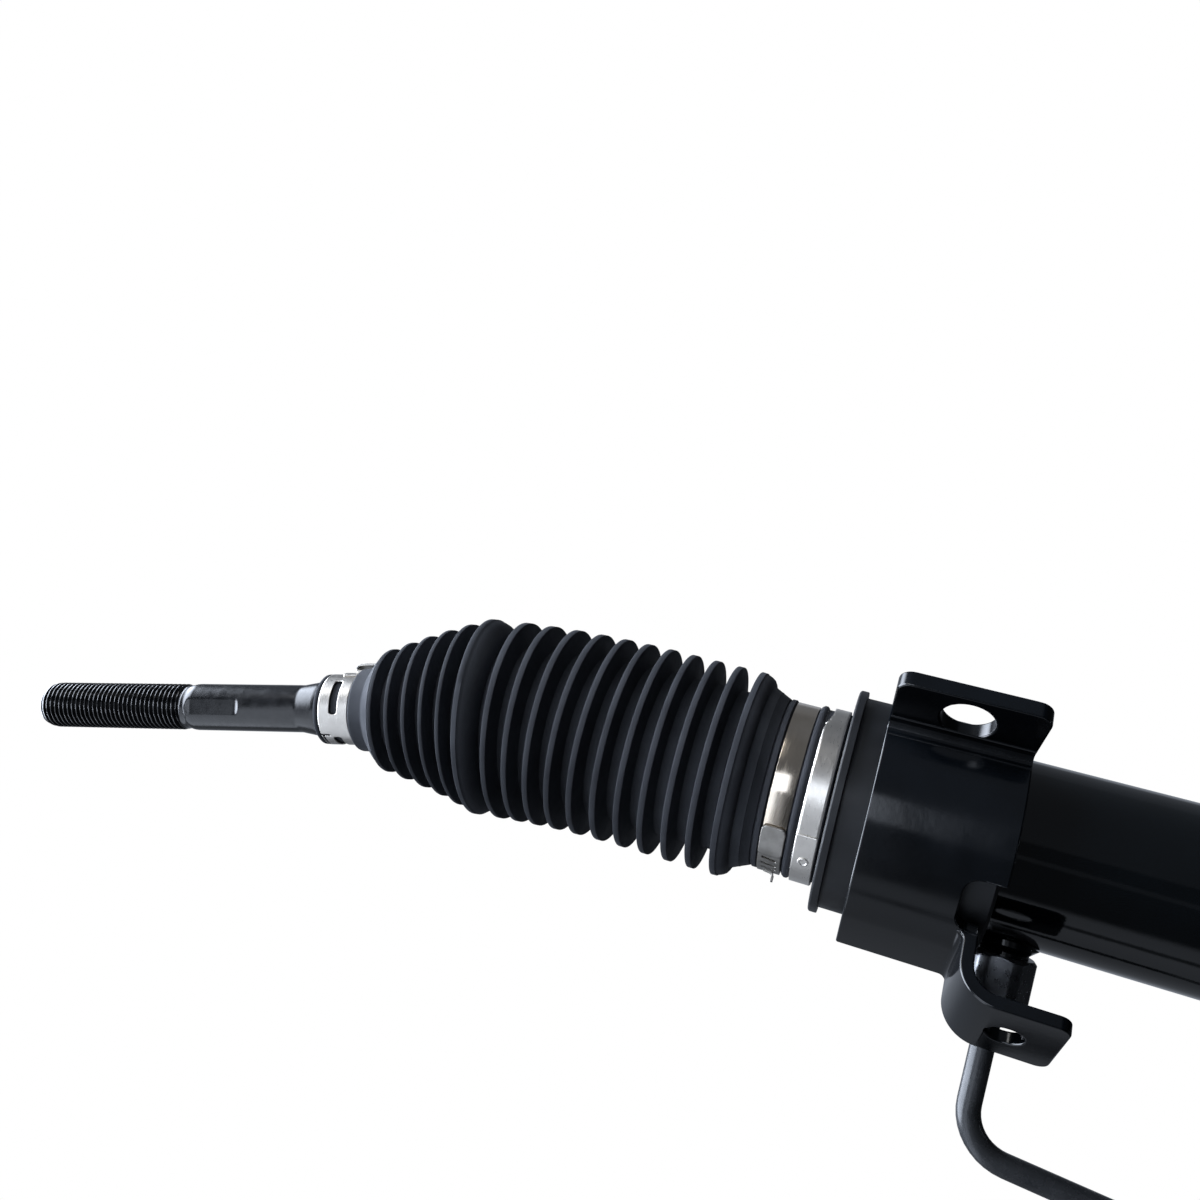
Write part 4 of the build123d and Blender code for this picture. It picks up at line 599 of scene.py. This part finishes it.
for end in ("left", "right"):
    shoulder, outward, _, _ = end_frame(end)
    outline = [(clamp_start, clamp_bore), (clamp_start, clamp_radius),
               (clamp_end, clamp_radius), (clamp_end, clamp_bore)]
    strip = turned(f"{end}_clamp_strip", rounded(outline, 0.0002, 3), shoulder, outward, turns=160)
    strip.data.materials.append(stainless)
    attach(strip, "housing")
    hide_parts(f"{end}_clamp")

    def on_clamp(u, v, radius):
        """Wraps arc length and width round the cuff at a radius."""
        return around(shoulder, outward, u / clamp_radius, v, radius)

    # lock plate: the strip's end comes back over itself, with its corners taken off
    lock_middle = (lock_arc.mean(), clamp_middle)
    lock_half = ((lock_arc[1] - lock_arc[0]) / 2, (clamp_end - clamp_start) / 2 + 0.0001)
    lock = cut_sheet(
        f"{end}_clamp_lock", lambda u, v: slot_field(u, v, lock_middle, lock_half, lock_corner),
        (lock_arc[0] - sheet_margin, lock_arc[1] + sheet_margin),
        (clamp_start - sheet_margin, clamp_end + sheet_margin), 0.00025,
        lambda u, v: on_clamp(u, v, clamp_radius + lock_lift), pressing_gauge, stamped)

    # slotted saddle that the hook sits in
    saddle_middle = (saddle_arc.mean(), clamp_middle)
    saddle_half = ((saddle_arc[1] - saddle_arc[0]) / 2, (clamp_end - clamp_start) / 2)

    def saddle_field(u, v):
        """Rounded rectangle less three slanted slots."""
        field = slot_field(u, v, saddle_middle, saddle_half, 0.0006)
        for degrees in saddle_slots:
            slanted = u - np.radians(degrees) * clamp_radius - saddle_slant * (v - clamp_middle)
            slot = slot_field(slanted, v, (0, clamp_middle), saddle_slot_half, 0.0004)
            field = np.maximum(field, -slot)
        return field

    saddle = cut_sheet(
        f"{end}_clamp_saddle", saddle_field,
        (saddle_arc[0] - sheet_margin, saddle_arc[1] + sheet_margin),
        (clamp_start - sheet_margin, clamp_end + sheet_margin), 0.00018,
        lambda u, v: on_clamp(u, v, clamp_radius + saddle_lift), pressing_gauge, stamped)
    hook_distance = clamp_start + np.array([0.0042, 0.0034, 0.0024, 0.0017, 0.0015, 0.0015, 0.0015])
    hook_radius = clamp_radius + np.array([0.0006, 0.0007, 0.0008, 0.0011, 0.0016, 0.0024, 0.0031])
    hook_sides = around(shoulder, outward, hook_angle + hook_spread, 0, 0.0233)
    hook_path = around(shoulder, outward, hook_angle, hook_distance, hook_radius)
    hook = ribbon(f"{end}_clamp_hook", hook_path, hook_sides[0] - hook_sides[1], pressing_gauge, stamped)
    for piece in (lock, saddle, hook):
        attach(piece, "housing")

    # second band: full width at the front, and a narrower tongue up over the top to the back
    def band_edge(u):
        """Outboard edge of the band by arc length: it steps in over the tongue by 3t^2 - 2t^3."""
        degrees = np.degrees(u / band_radius)
        tongue = np.clip((degrees - tongue_from) / tongue_ramp, 0, 1)
        tongue = tongue * np.clip((tongue_to - degrees) / tongue_ramp, 0, 1)
        return band_end - tongue_step * tongue * tongue * (3 - 2 * tongue)

    def band_field(u, v):
        """Below zero between the band's two edges."""
        return np.maximum(v - band_edge(u), band_start - v)

    def on_band(u, v, radius):
        """Wraps arc length and width round the snout at a radius."""
        return around(shoulder, outward, u / band_radius, v, radius)

    band = cut_sheet(
        f"{end}_band_strip", band_field, band_arc, (band_start - 0.0002, band_end + 0.0002),
        0.0004, lambda u, v: on_band(u, v, band_radius - band_inset), band_gauge, zinc)
    tail_middle = (tail_arc.mean(), (band_start + band_end) / 2)
    tail_half = ((tail_arc[1] - tail_arc[0]) / 2, (band_end - band_start) / 2 - 0.00005)
    tail = cut_sheet(
        f"{end}_band_tail", lambda u, v: slot_field(u, v, tail_middle, tail_half, 0.0003),
        (tail_arc[0] - sheet_margin, tail_arc[1] + sheet_margin), (band_start - 0.0003, band_end + 0.0003),
        0.0003, lambda u, v: on_band(u, v, band_radius + tail_lift), tail_gauge, zinc)
    rivet_foot = around(shoulder, outward, rivet_angle, rivet_distance, band_radius + 0.0001)
    rivet_out = rivet_foot - around(shoulder, outward, rivet_angle, rivet_distance, 0.0)
    rivet_outline = rounded([(0, 0), (0, 0.00145), (0.00035, 0.0014), (0.0004, 0.0010),
                             (0.00022, 0.0008), (0.00022, 0)], 0.00012, 3, closed=False)
    rivet = turned(f"{end}_band_rivet", rivet_outline, rivet_foot, rivet_out, closed=False, turns=40)
    rivet.data.materials.append(zinc)
    for piece in (band, tail, rivet):
        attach(piece, "housing")
    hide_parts(f"{end}_band")

# ---------------------------------------------------------------------------------------------
# Tie rods: forged steel rods with a black phosphate finish. Each has its ball in the inner joint,
# a swollen seat for the boot, two pressed spanner flats, a neck and an M14 x 1.5 thread.
# ---------------------------------------------------------------------------------------------

rod_radius = 0.0070
rod_neck = 0.0064
ball_radius = 0.0135
ball_points = 40
rod_turns = 96
thread_radius = 0.00693
thread_depth = 0.00085
thread_pitch = 0.0015
thread_start = 0.1057
thread_neck = 0.00655
thread_first_root = 0.0065
thread_run_in = 0.0012
rings_per_pitch = 12
rod_end = 0.1561
dome = 0.0055
dome_tip = 0.0034
flat_start, flat_end = 0.0860, 0.1036
flat_depth = 0.00055
flat_run_out = 0.0016


def rod_profile():
    """Half outline of the plain part of the rod: the ball's arc, the neck, the boot's seat and the
    spanner section."""
    neck_angle = np.arcsin(rod_neck / ball_radius)
    arc = np.linspace(np.pi, neck_angle, ball_points)
    ball_part = np.stack([ball_radius * np.cos(arc), ball_radius * np.sin(arc)], 1)
    body_part = np.array([
        (0.028, rod_neck), (0.031, rod_radius), (0.0435, rod_radius), (0.0465, 0.0079),
        (0.0600, 0.00815), (0.0618, 0.0080), (0.0675, rod_radius), (0.0735, rod_radius),
        (0.0885, rod_radius), (0.1022, rod_radius), (0.1032, 0.0069), (0.1043, 0.00658),
        (thread_start, thread_neck)])
    return np.concatenate([ball_part, body_part])


def pressed_rod(end):
    """Grid of the whole rod: radius r(d, a) is the outline's, cut by two flats, then the helical
    thread's wave."""
    _, _, ball, rod = end_frame(end)
    plain = rod_profile()
    # the outline's own points as far as the seat's foot, then an even run to the thread
    knots = np.concatenate([plain[:ball_points + 4, 0], np.linspace(0.0472, thread_start, 150)])
    knots = np.unique(np.round(knots, 7))
    threaded_rings = int((rod_end - thread_start) / thread_pitch * rings_per_pitch)
    threaded = np.linspace(thread_start, rod_end, threaded_rings)
    d = np.concatenate([knots, threaded[1:]])
    angle = np.arange(rod_turns) * 2 * np.pi / rod_turns
    r = np.interp(d, plain[:, 0], plain[:, 1])[:, None] * np.ones(rod_turns)
    # pressed flats with rounded ends
    middle, half = (flat_start + flat_end) / 2, (flat_end - flat_start) / 2
    across = np.clip((half - np.abs(d - middle)) / flat_run_out, 0, 1)
    depth = flat_depth * np.sqrt(1 - (1 - across) ** 2)
    chord = (rod_radius - depth)[:, None] / np.maximum(np.abs(np.cos(angle))[None], 0.05)
    r = np.where((across > 0)[:, None], np.minimum(r, chord), r)
    # thread: a triangular wave that climbs one pitch a turn, under an envelope that closes in a dome
    phase = (d[:, None] / thread_pitch - angle[None] / (2 * np.pi)) % 1.0
    wave = np.clip(np.abs(phase - 0.5) * 3.1 - 0.21, 0, 1)
    tail = np.clip((d - (rod_end - dome)) / dome, 0, 1)[:, None]
    envelope = thread_radius - (thread_radius - dome_tip) * (1 - np.sqrt(np.maximum(1 - tail**2, 0)))
    run_in = np.clip((d - thread_start) / thread_run_in, 0, 1)[:, None]
    crest = thread_neck + (envelope - thread_neck) * run_in
    cut = np.minimum(envelope, thread_radius - thread_depth) * run_in + (1 - run_in) * thread_first_root
    helix = cut + (np.maximum(crest, cut) - cut) * wave
    helix = np.where(tail > 0, np.minimum(helix, envelope), helix)
    r = np.where((d > thread_start)[:, None], helix, r)
    return d, r, angle, ball, rod


def phosphate_steel():
    """Dark phosphated and oiled forging: near-black, satin, with a soft mottle."""
    material, tree, shader = paint_shader("phosphated_steel", (0.010, 0.011, 0.013), 0.28, 0.0)
    tint(tree, shader, grain(tree, 160, 4), (0.007, 0.0078, 0.0092), (0.012, 0.013, 0.015))
    spread(tree, grain(tree, 420, 5), 0.15, 0.24, shader.inputs["Roughness"])
    relief(tree, shader, grain(tree, 1400, 3), 0.06, 0.0002)
    return material


phosphated = phosphate_steel()
# the pressed flats face forwards and down
flats_face = np.array([0.034, -0.824, -0.566])
for end in ("left", "right"):
    d, r, angle, ball, rod = pressed_rod(end)
    face_on = flats_face - rod * (flats_face @ rod)
    face_on = face_on / np.linalg.norm(face_on)
    beside = np.cross(rod, face_on)
    spoke = np.outer(np.cos(angle), face_on) + np.outer(np.sin(angle), beside)
    points = ball + d[:, None, None] * rod + r[:, :, None] * spoke
    rings, turns = r.shape
    faces = grid_faces(rings, turns, False)
    faces.append(list(range((rings - 1) * turns, rings * turns)))
    tie_rod = finish_mesh(f"{end}_tie_rod_forging", points.reshape(-1, 3), faces, 40)
    tie_rod.data.materials.append(phosphated)
    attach(tie_rod, f"{end}_rod")
    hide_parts(f"{end}_tie_rod")

# ---------------------------------------------------------------------------------------------
# Small clips: thin satin steel bands on the bellows' necks, with oblong slots punched through, a
# notched overlap, and an ear that folds back over the neck on the far side.
# ---------------------------------------------------------------------------------------------

clip_start, clip_end = 0.0492, 0.0582
clip_radius = 0.0101
clip_slots = ((-44, 17), (-148, -86), (60, 120))
slot_distance, slot_half_width, slot_corner = 0.0536, 0.00125, 0.0009
slit_cuts = ((-82, 0.0570, (0.0003, 0.0015), 0.0001), (-97, 0.0576, (0.0028, 0.00025), 0.0001))
clip_gauge, pad_gauge, ear_gauge = 0.0004, 0.0005, 0.0008
pad_arc = np.radians([34, 84]) * clip_radius
pad_middle = (pad_arc.mean(), 0.0517)
pad_half = ((pad_arc[1] - pad_arc[0]) / 2, 0.0024)
ear_angle = np.radians(66)
ear_spread = np.array([0.2, -0.2])
satin_clip = zinc_strip("satin_clip_steel", 0.64)
for end in ("left", "right"):
    _, _, ball, rod = end_frame(end)

    def clip_field(u, v):
        """Band less three slots and the L-shaped slit at its overlap."""
        cuts = [((low + high) / 2, slot_distance,
                 (np.radians((high - low) / 2) * clip_radius, slot_half_width), slot_corner)
                for low, high in clip_slots]
        field = np.maximum(v - clip_end, clip_start - v)
        for degrees, distance, half, corner in (*cuts, *slit_cuts):
            middle = (np.radians(degrees) * clip_radius, distance)
            field = np.maximum(field, -slot_field(u, v, middle, half, corner))
        return field

    def on_clip(u, v, radius):
        """Wraps arc length and width round the rod at a radius."""
        return around(ball, rod, u / clip_radius, v, radius)

    clip = cut_sheet(
        f"{end}_clip_strip", clip_field, np.radians([-180, 180]) * clip_radius,
        (clip_start - 0.0002, clip_end + 0.0002), 0.00022,
        lambda u, v: on_clip(u, v, clip_radius), clip_gauge, satin_clip)
    pad = cut_sheet(
        f"{end}_clip_overlap", lambda u, v: slot_field(u, v, pad_middle, pad_half, 0.0005),
        (pad_arc[0] - sheet_margin, pad_arc[1] + sheet_margin), (0.0490, 0.0545), 0.00025,
        lambda u, v: on_clip(u, v, clip_radius + clip_gauge), pad_gauge, satin_clip)
    ear_distance = np.array([485, 500, 512, 516, 512, 500, 480, 450, 418]) * 1e-4
    ear_radius = clip_radius + np.array([9, 9, 11, 18, 26, 29, 30, 30, 30]) * 1e-4
    ear_sides = around(ball, rod, ear_angle + ear_spread, 0.05, 0.012)
    ear_path = around(ball, rod, ear_angle, ear_distance, ear_radius)
    ear = ribbon(f"{end}_clip_ear", ear_path, ear_sides[0] - ear_sides[1], ear_gauge, satin_clip)
    for piece in (clip, pad, ear):
        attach(piece, f"{end}_sweep")
    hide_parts(f"{end}_clip")

# ---------------------------------------------------------------------------------------------
# Pressure pipes: 6 mm steel pipe, cold bent, with a dark zinc finish. One runs to each end of the
# cylinder from the valve housing at the back.
# ---------------------------------------------------------------------------------------------


def dark_pipe_steel():
    """Drawn tube with a dark zinc coat: near-black, with a soft highlight."""
    material, tree, shader = paint_shader("dark_pipe_steel", (0.035, 0.037, 0.040), 0.26, 0.15)
    tint(tree, shader, grain(tree, 140, 4), (0.030, 0.032, 0.035), (0.042, 0.044, 0.047))
    spread(tree, grain(tree, 500, 4), 0.20, 0.32, shader.inputs["Roughness"])
    shader.inputs["Specular IOR Level"].default_value = 0.3
    return material


def dark_nut_steel():
    """Machined nut with a dark zinc coat: hard facets that mirror a little of the room."""
    material, tree, shader = paint_shader("dark_nut_steel", (0.13, 0.135, 0.145), 0.3, 0.8)
    tint(tree, shader, grain(tree, 200, 4), (0.11, 0.115, 0.125), (0.16, 0.165, 0.175))
    spread(tree, grain(tree, 600, 4), 0.24, 0.40, shader.inputs["Roughness"])
    return material


pipe_steel = dark_pipe_steel()
nut_steel = dark_nut_steel()
for node in ("left_pressure_pipe", "right_pressure_pipe",
             "left_tube_nut", "right_tube_nut", "valve_pipe_nuts"):
    is_nut = "nut" in node
    item = merged_copy(node, node + "_skin", 0.0004 if is_nut else 0.0)
    item.data.materials.append(nut_steel if is_nut else pipe_steel)
    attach(item, "housing")
    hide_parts(node)

# ---------------------------------------------------------------------------------------------
# Port bosses: turned steel bosses welded to the tube for the pipes' nuts, painted with it.
# ---------------------------------------------------------------------------------------------

for node in ("left_port_boss", "right_port_boss"):
    boss = merged_copy(node, node + "_skin", 0.0003)
    boss.data.materials.append(gloss_black)
    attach(boss, "housing")
    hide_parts(node)

# ---------------------------------------------------------------------------------------------
# Pinion housing and valve housing: aluminium gravity castings, shot blasted, with machined faces.
# ---------------------------------------------------------------------------------------------


def blasted_aluminium():
    """Cast aluminium with a shot-blasted grain and a tone that drifts at random."""
    material, tree, shader = paint_shader("blasted_aluminium", (0.50, 0.51, 0.52), 0.5, 0.9)
    tint(tree, shader, grain(tree, 60, 5), (0.42, 0.43, 0.44), (0.56, 0.57, 0.58))
    spread(tree, grain(tree, 300, 4), 0.42, 0.60, shader.inputs["Roughness"])
    relief(tree, shader, grain(tree, 1300, 4), 0.35, 0.0003)
    return material


cast = blasted_aluminium()
for node in ("pinion_housing", "valve_housing"):
    casting = merged_copy(node, node + "_skin", 0.0006)
    casting.data.materials.append(cast)
    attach(casting, "housing")
    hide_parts(node)

# ---------------------------------------------------------------------------------------------
# The rest of the pieces, which are inside or small: each keeps its CAD form with its own finish.
# ---------------------------------------------------------------------------------------------


def machined_steel():
    """Ground and turned steel."""
    material, tree, shader = paint_shader("machined_steel", (0.45, 0.45, 0.46), 0.24, 1.0)
    tint(tree, shader, grain(tree, 200, 3), (0.40, 0.40, 0.41), (0.50, 0.50, 0.51))
    spread(tree, grain(tree, 600, 4), 0.18, 0.32, shader.inputs["Roughness"])
    return material


def white_polymer():
    """Self-lubricating moulded polymer."""
    material, tree, shader = paint_shader("bearing_polymer", (0.70, 0.67, 0.58), 0.45)
    tint(tree, shader, grain(tree, 150, 3), (0.66, 0.63, 0.54), (0.74, 0.71, 0.62))
    return material


def bearing_bronze():
    """Sintered bronze."""
    material, tree, shader = paint_shader("bearing_bronze", (0.45, 0.30, 0.13), 0.35, 1.0)
    tint(tree, shader, grain(tree, 250, 4), (0.38, 0.25, 0.11), (0.52, 0.35, 0.16))
    return material


finishes = {
    "black_paint": satin_black, "cast_aluminium": cast, "plated_steel": pipe_steel, "rubber": rubber,
    "stainless": stainless, "zinc": zinc, "machined_steel": machined_steel(), "dark_steel": phosphated,
    "polymer": white_polymer(), "bronze": bearing_bronze()}
slots = {s["node"]: s["material_slot"] for s in frame["record"]["subparts"]}
for node, solid in frame["nodes"].items():
    if not solid.hide_render:
        solid.data.materials.clear()
        solid.data.materials.append(finishes[slots[node]])

# ---------------------------------------------------------------------------------------------
# Studio: white surroundings, a strong wall to the left, soft panels below and in front, one soft
# lamp, a pale floor that only the camera sees, and a camera below and in front of the rack's end.
# ---------------------------------------------------------------------------------------------

scene = bpy.context.scene
scene.view_settings.view_transform = "Standard"
world = bpy.data.worlds.new("white_studio")
scene.world = world
world.use_nodes = True
sky = world.node_tree
direction = sky.nodes.new("ShaderNodeSeparateXYZ")
sky.links.new(sky.nodes.new("ShaderNodeTexCoord").outputs["Generated"], direction.inputs["Vector"])
toward_x, toward_y, toward_z = direction.outputs


def reckon(operation, *terms):
    """One step of arithmetic on numbers or sockets."""
    node = sky.nodes.new("ShaderNodeMath")
    node.operation = operation
    for socket, term in zip(node.inputs, terms):
        if isinstance(term, (int, float)):
            socket.default_value = term
        else:
            sky.links.new(term, socket)
    return node.outputs[0]


def fade(value, start, stop, low=0.0, high=1.0):
    """Smooth change from low to high as the value goes from start to stop."""
    node = sky.nodes.new("ShaderNodeMapRange")
    node.interpolation_type = "SMOOTHSTEP"
    for socket, term in zip(node.inputs, (value, start, stop, low, high)):
        if isinstance(term, (int, float)):
            socket.default_value = term
        else:
            sky.links.new(term, socket)
    return node.outputs[0]


def panel(value, low, high, soft):
    """One inside low..high with soft edges, and nothing outside."""
    rise, fall = fade(value, low - soft, low), fade(value, high, high + soft, 1.0, 0.0)
    return reckon("MULTIPLY", rise, fall)


# depth grows from the dark side of the room, where the camera stands, to the white sweep behind
depth = reckon("ADD", toward_y, 0.06)
below = fade(toward_z, -0.2, 0.2, 1.0, 0.0)
sweep_below = reckon("MULTIPLY", fade(depth, -0.02, 0.14, 0.10, 0.42),
                     fade(toward_y, 0.35, 0.85, 1.0, 0.55))
sweep_above = fade(depth, 0.48, 0.60, 0.16, 0.40)
seam = reckon("MULTIPLY", panel(depth, 0.38, 0.41, 0.05), fade(toward_z, -0.85, -0.7, -0.8, 0.0))
sweep_below = reckon("MULTIPLY", sweep_below, reckon("ADD", seam, 1.0))
sweep = reckon("ADD", reckon("MULTIPLY", sweep_below, below),
               reckon("MULTIPLY", sweep_above, reckon("SUBTRACT", 1.0, below)))
dark_side = reckon("ADD", fade(toward_z, -0.34, -0.28, 0.06, 0.13),
                   reckon("MULTIPLY", panel(toward_z, -0.63, -0.59, 0.03), 0.07))
room = reckon("ADD", reckon("MULTIPLY", sweep, fade(depth, -0.05, 0.05)),
              reckon("MULTIPLY", dark_side, fade(depth, -0.05, 0.05, 1.0, 0.0)))
left_wall = fade(toward_x, -0.71, -0.84, 0.0, 12.0)
room = reckon("MAXIMUM", room, left_wall)
softbox = reckon("MULTIPLY", panel(toward_z, -0.60, -0.30, 0.04), panel(toward_x, -0.42, -0.02, 0.05))
softbox = reckon("MULTIPLY", softbox, fade(toward_y, -0.4, -0.6, 0.0, 3.2))
lower_wall = reckon("MULTIPLY", panel(toward_x, -0.42, -0.02, 0.05),
                    fade(toward_z, -0.60, -0.70, 0.0, 0.36))
room = reckon("ADD", reckon("MAXIMUM", room, lower_wall), softbox)
low_left = reckon("MULTIPLY", panel(toward_x, -0.62, -0.24, 0.05),
                  fade(toward_z, -0.58, -0.68, 0.0, 1.6))
room = reckon("ADD", room, low_left)
# the room is dark to the right, past what the tube's end mirrors
room = reckon("MULTIPLY", room, fade(toward_x, 0.28, 0.48, 1.0, 0.12))

lit_by = sky.nodes.new("ShaderNodeBackground")
lit_by.inputs["Color"].default_value = (0.88, 0.96, 1.10, 1)
sky.links.new(room, lit_by.inputs["Strength"])
seen_as = sky.nodes["Background"]
seen_as.inputs["Color"].default_value = (1.0, 1.0, 1.0, 1)
chooser = sky.nodes.new("ShaderNodeMixShader")
sky.links.new(sky.nodes.new("ShaderNodeLightPath").outputs["Is Camera Ray"], chooser.inputs["Fac"])
sky.links.new(lit_by.outputs[0], chooser.inputs[1])
sky.links.new(seen_as.outputs[0], chooser.inputs[2])
sky.links.new(chooser.outputs[0], sky.nodes["World Output"].inputs["Surface"])

floor_mesh = bpy.data.meshes.new("studio_floor")
floor_corners = [(-2, -2, -0.36), (2.6, -2, -0.36), (2.6, 2, -0.36), (-2, 2, -0.36)]
floor_mesh.from_pydata(floor_corners, [], [(0, 1, 2, 3)])
floor = bpy.data.objects.new("studio_floor", floor_mesh)
scene.collection.objects.link(floor)
floor_paint, _, floor_shader = paint_shader("pale_floor", (0.86, 0.86, 0.86), 0.8)
floor_shader.inputs["Emission Color"].default_value = (1.0, 1.0, 1.0, 1)
floor_shader.inputs["Emission Strength"].default_value = 0.45
floor_mesh.materials.append(floor_paint)
floor.visible_glossy = False
floor.visible_diffuse = False

camera = bpy.data.objects.new("camera", bpy.data.cameras.new("camera"))
scene.collection.objects.link(camera)
camera.data.lens = 32.25
camera.data.sensor_width = 36.0
camera.data.clip_start = 0.01
camera_right = Vector((0.9348, 0.0698, 0.3482))
camera_up = Vector((-0.2252, -0.6418, 0.7331))
camera_back = Vector((0.2747, -0.7637, -0.5843))
camera.matrix_world = Matrix.Translation((-0.0174, -0.2125, -0.1532)) @ Matrix(
    (camera_right, camera_up, camera_back)).transposed().to_4x4()
scene.camera = camera


def soft_light(name, place, target, size, watts):
    """Square area light aimed at a point."""
    lamp = bpy.data.objects.new(name, bpy.data.lights.new(name, "AREA"))
    scene.collection.objects.link(lamp)
    lamp.data.size = size
    lamp.data.energy = watts
    lamp.location = place
    lamp.rotation_mode = "QUATERNION"
    lamp.rotation_quaternion = (Vector(target) - Vector(place)).to_track_quat("-Z", "Y")
    return lamp


soft_light("key_from_left", (-0.55, -0.75, 0.30), (0.0, 0.03, 0.0), 0.35, 1.6)
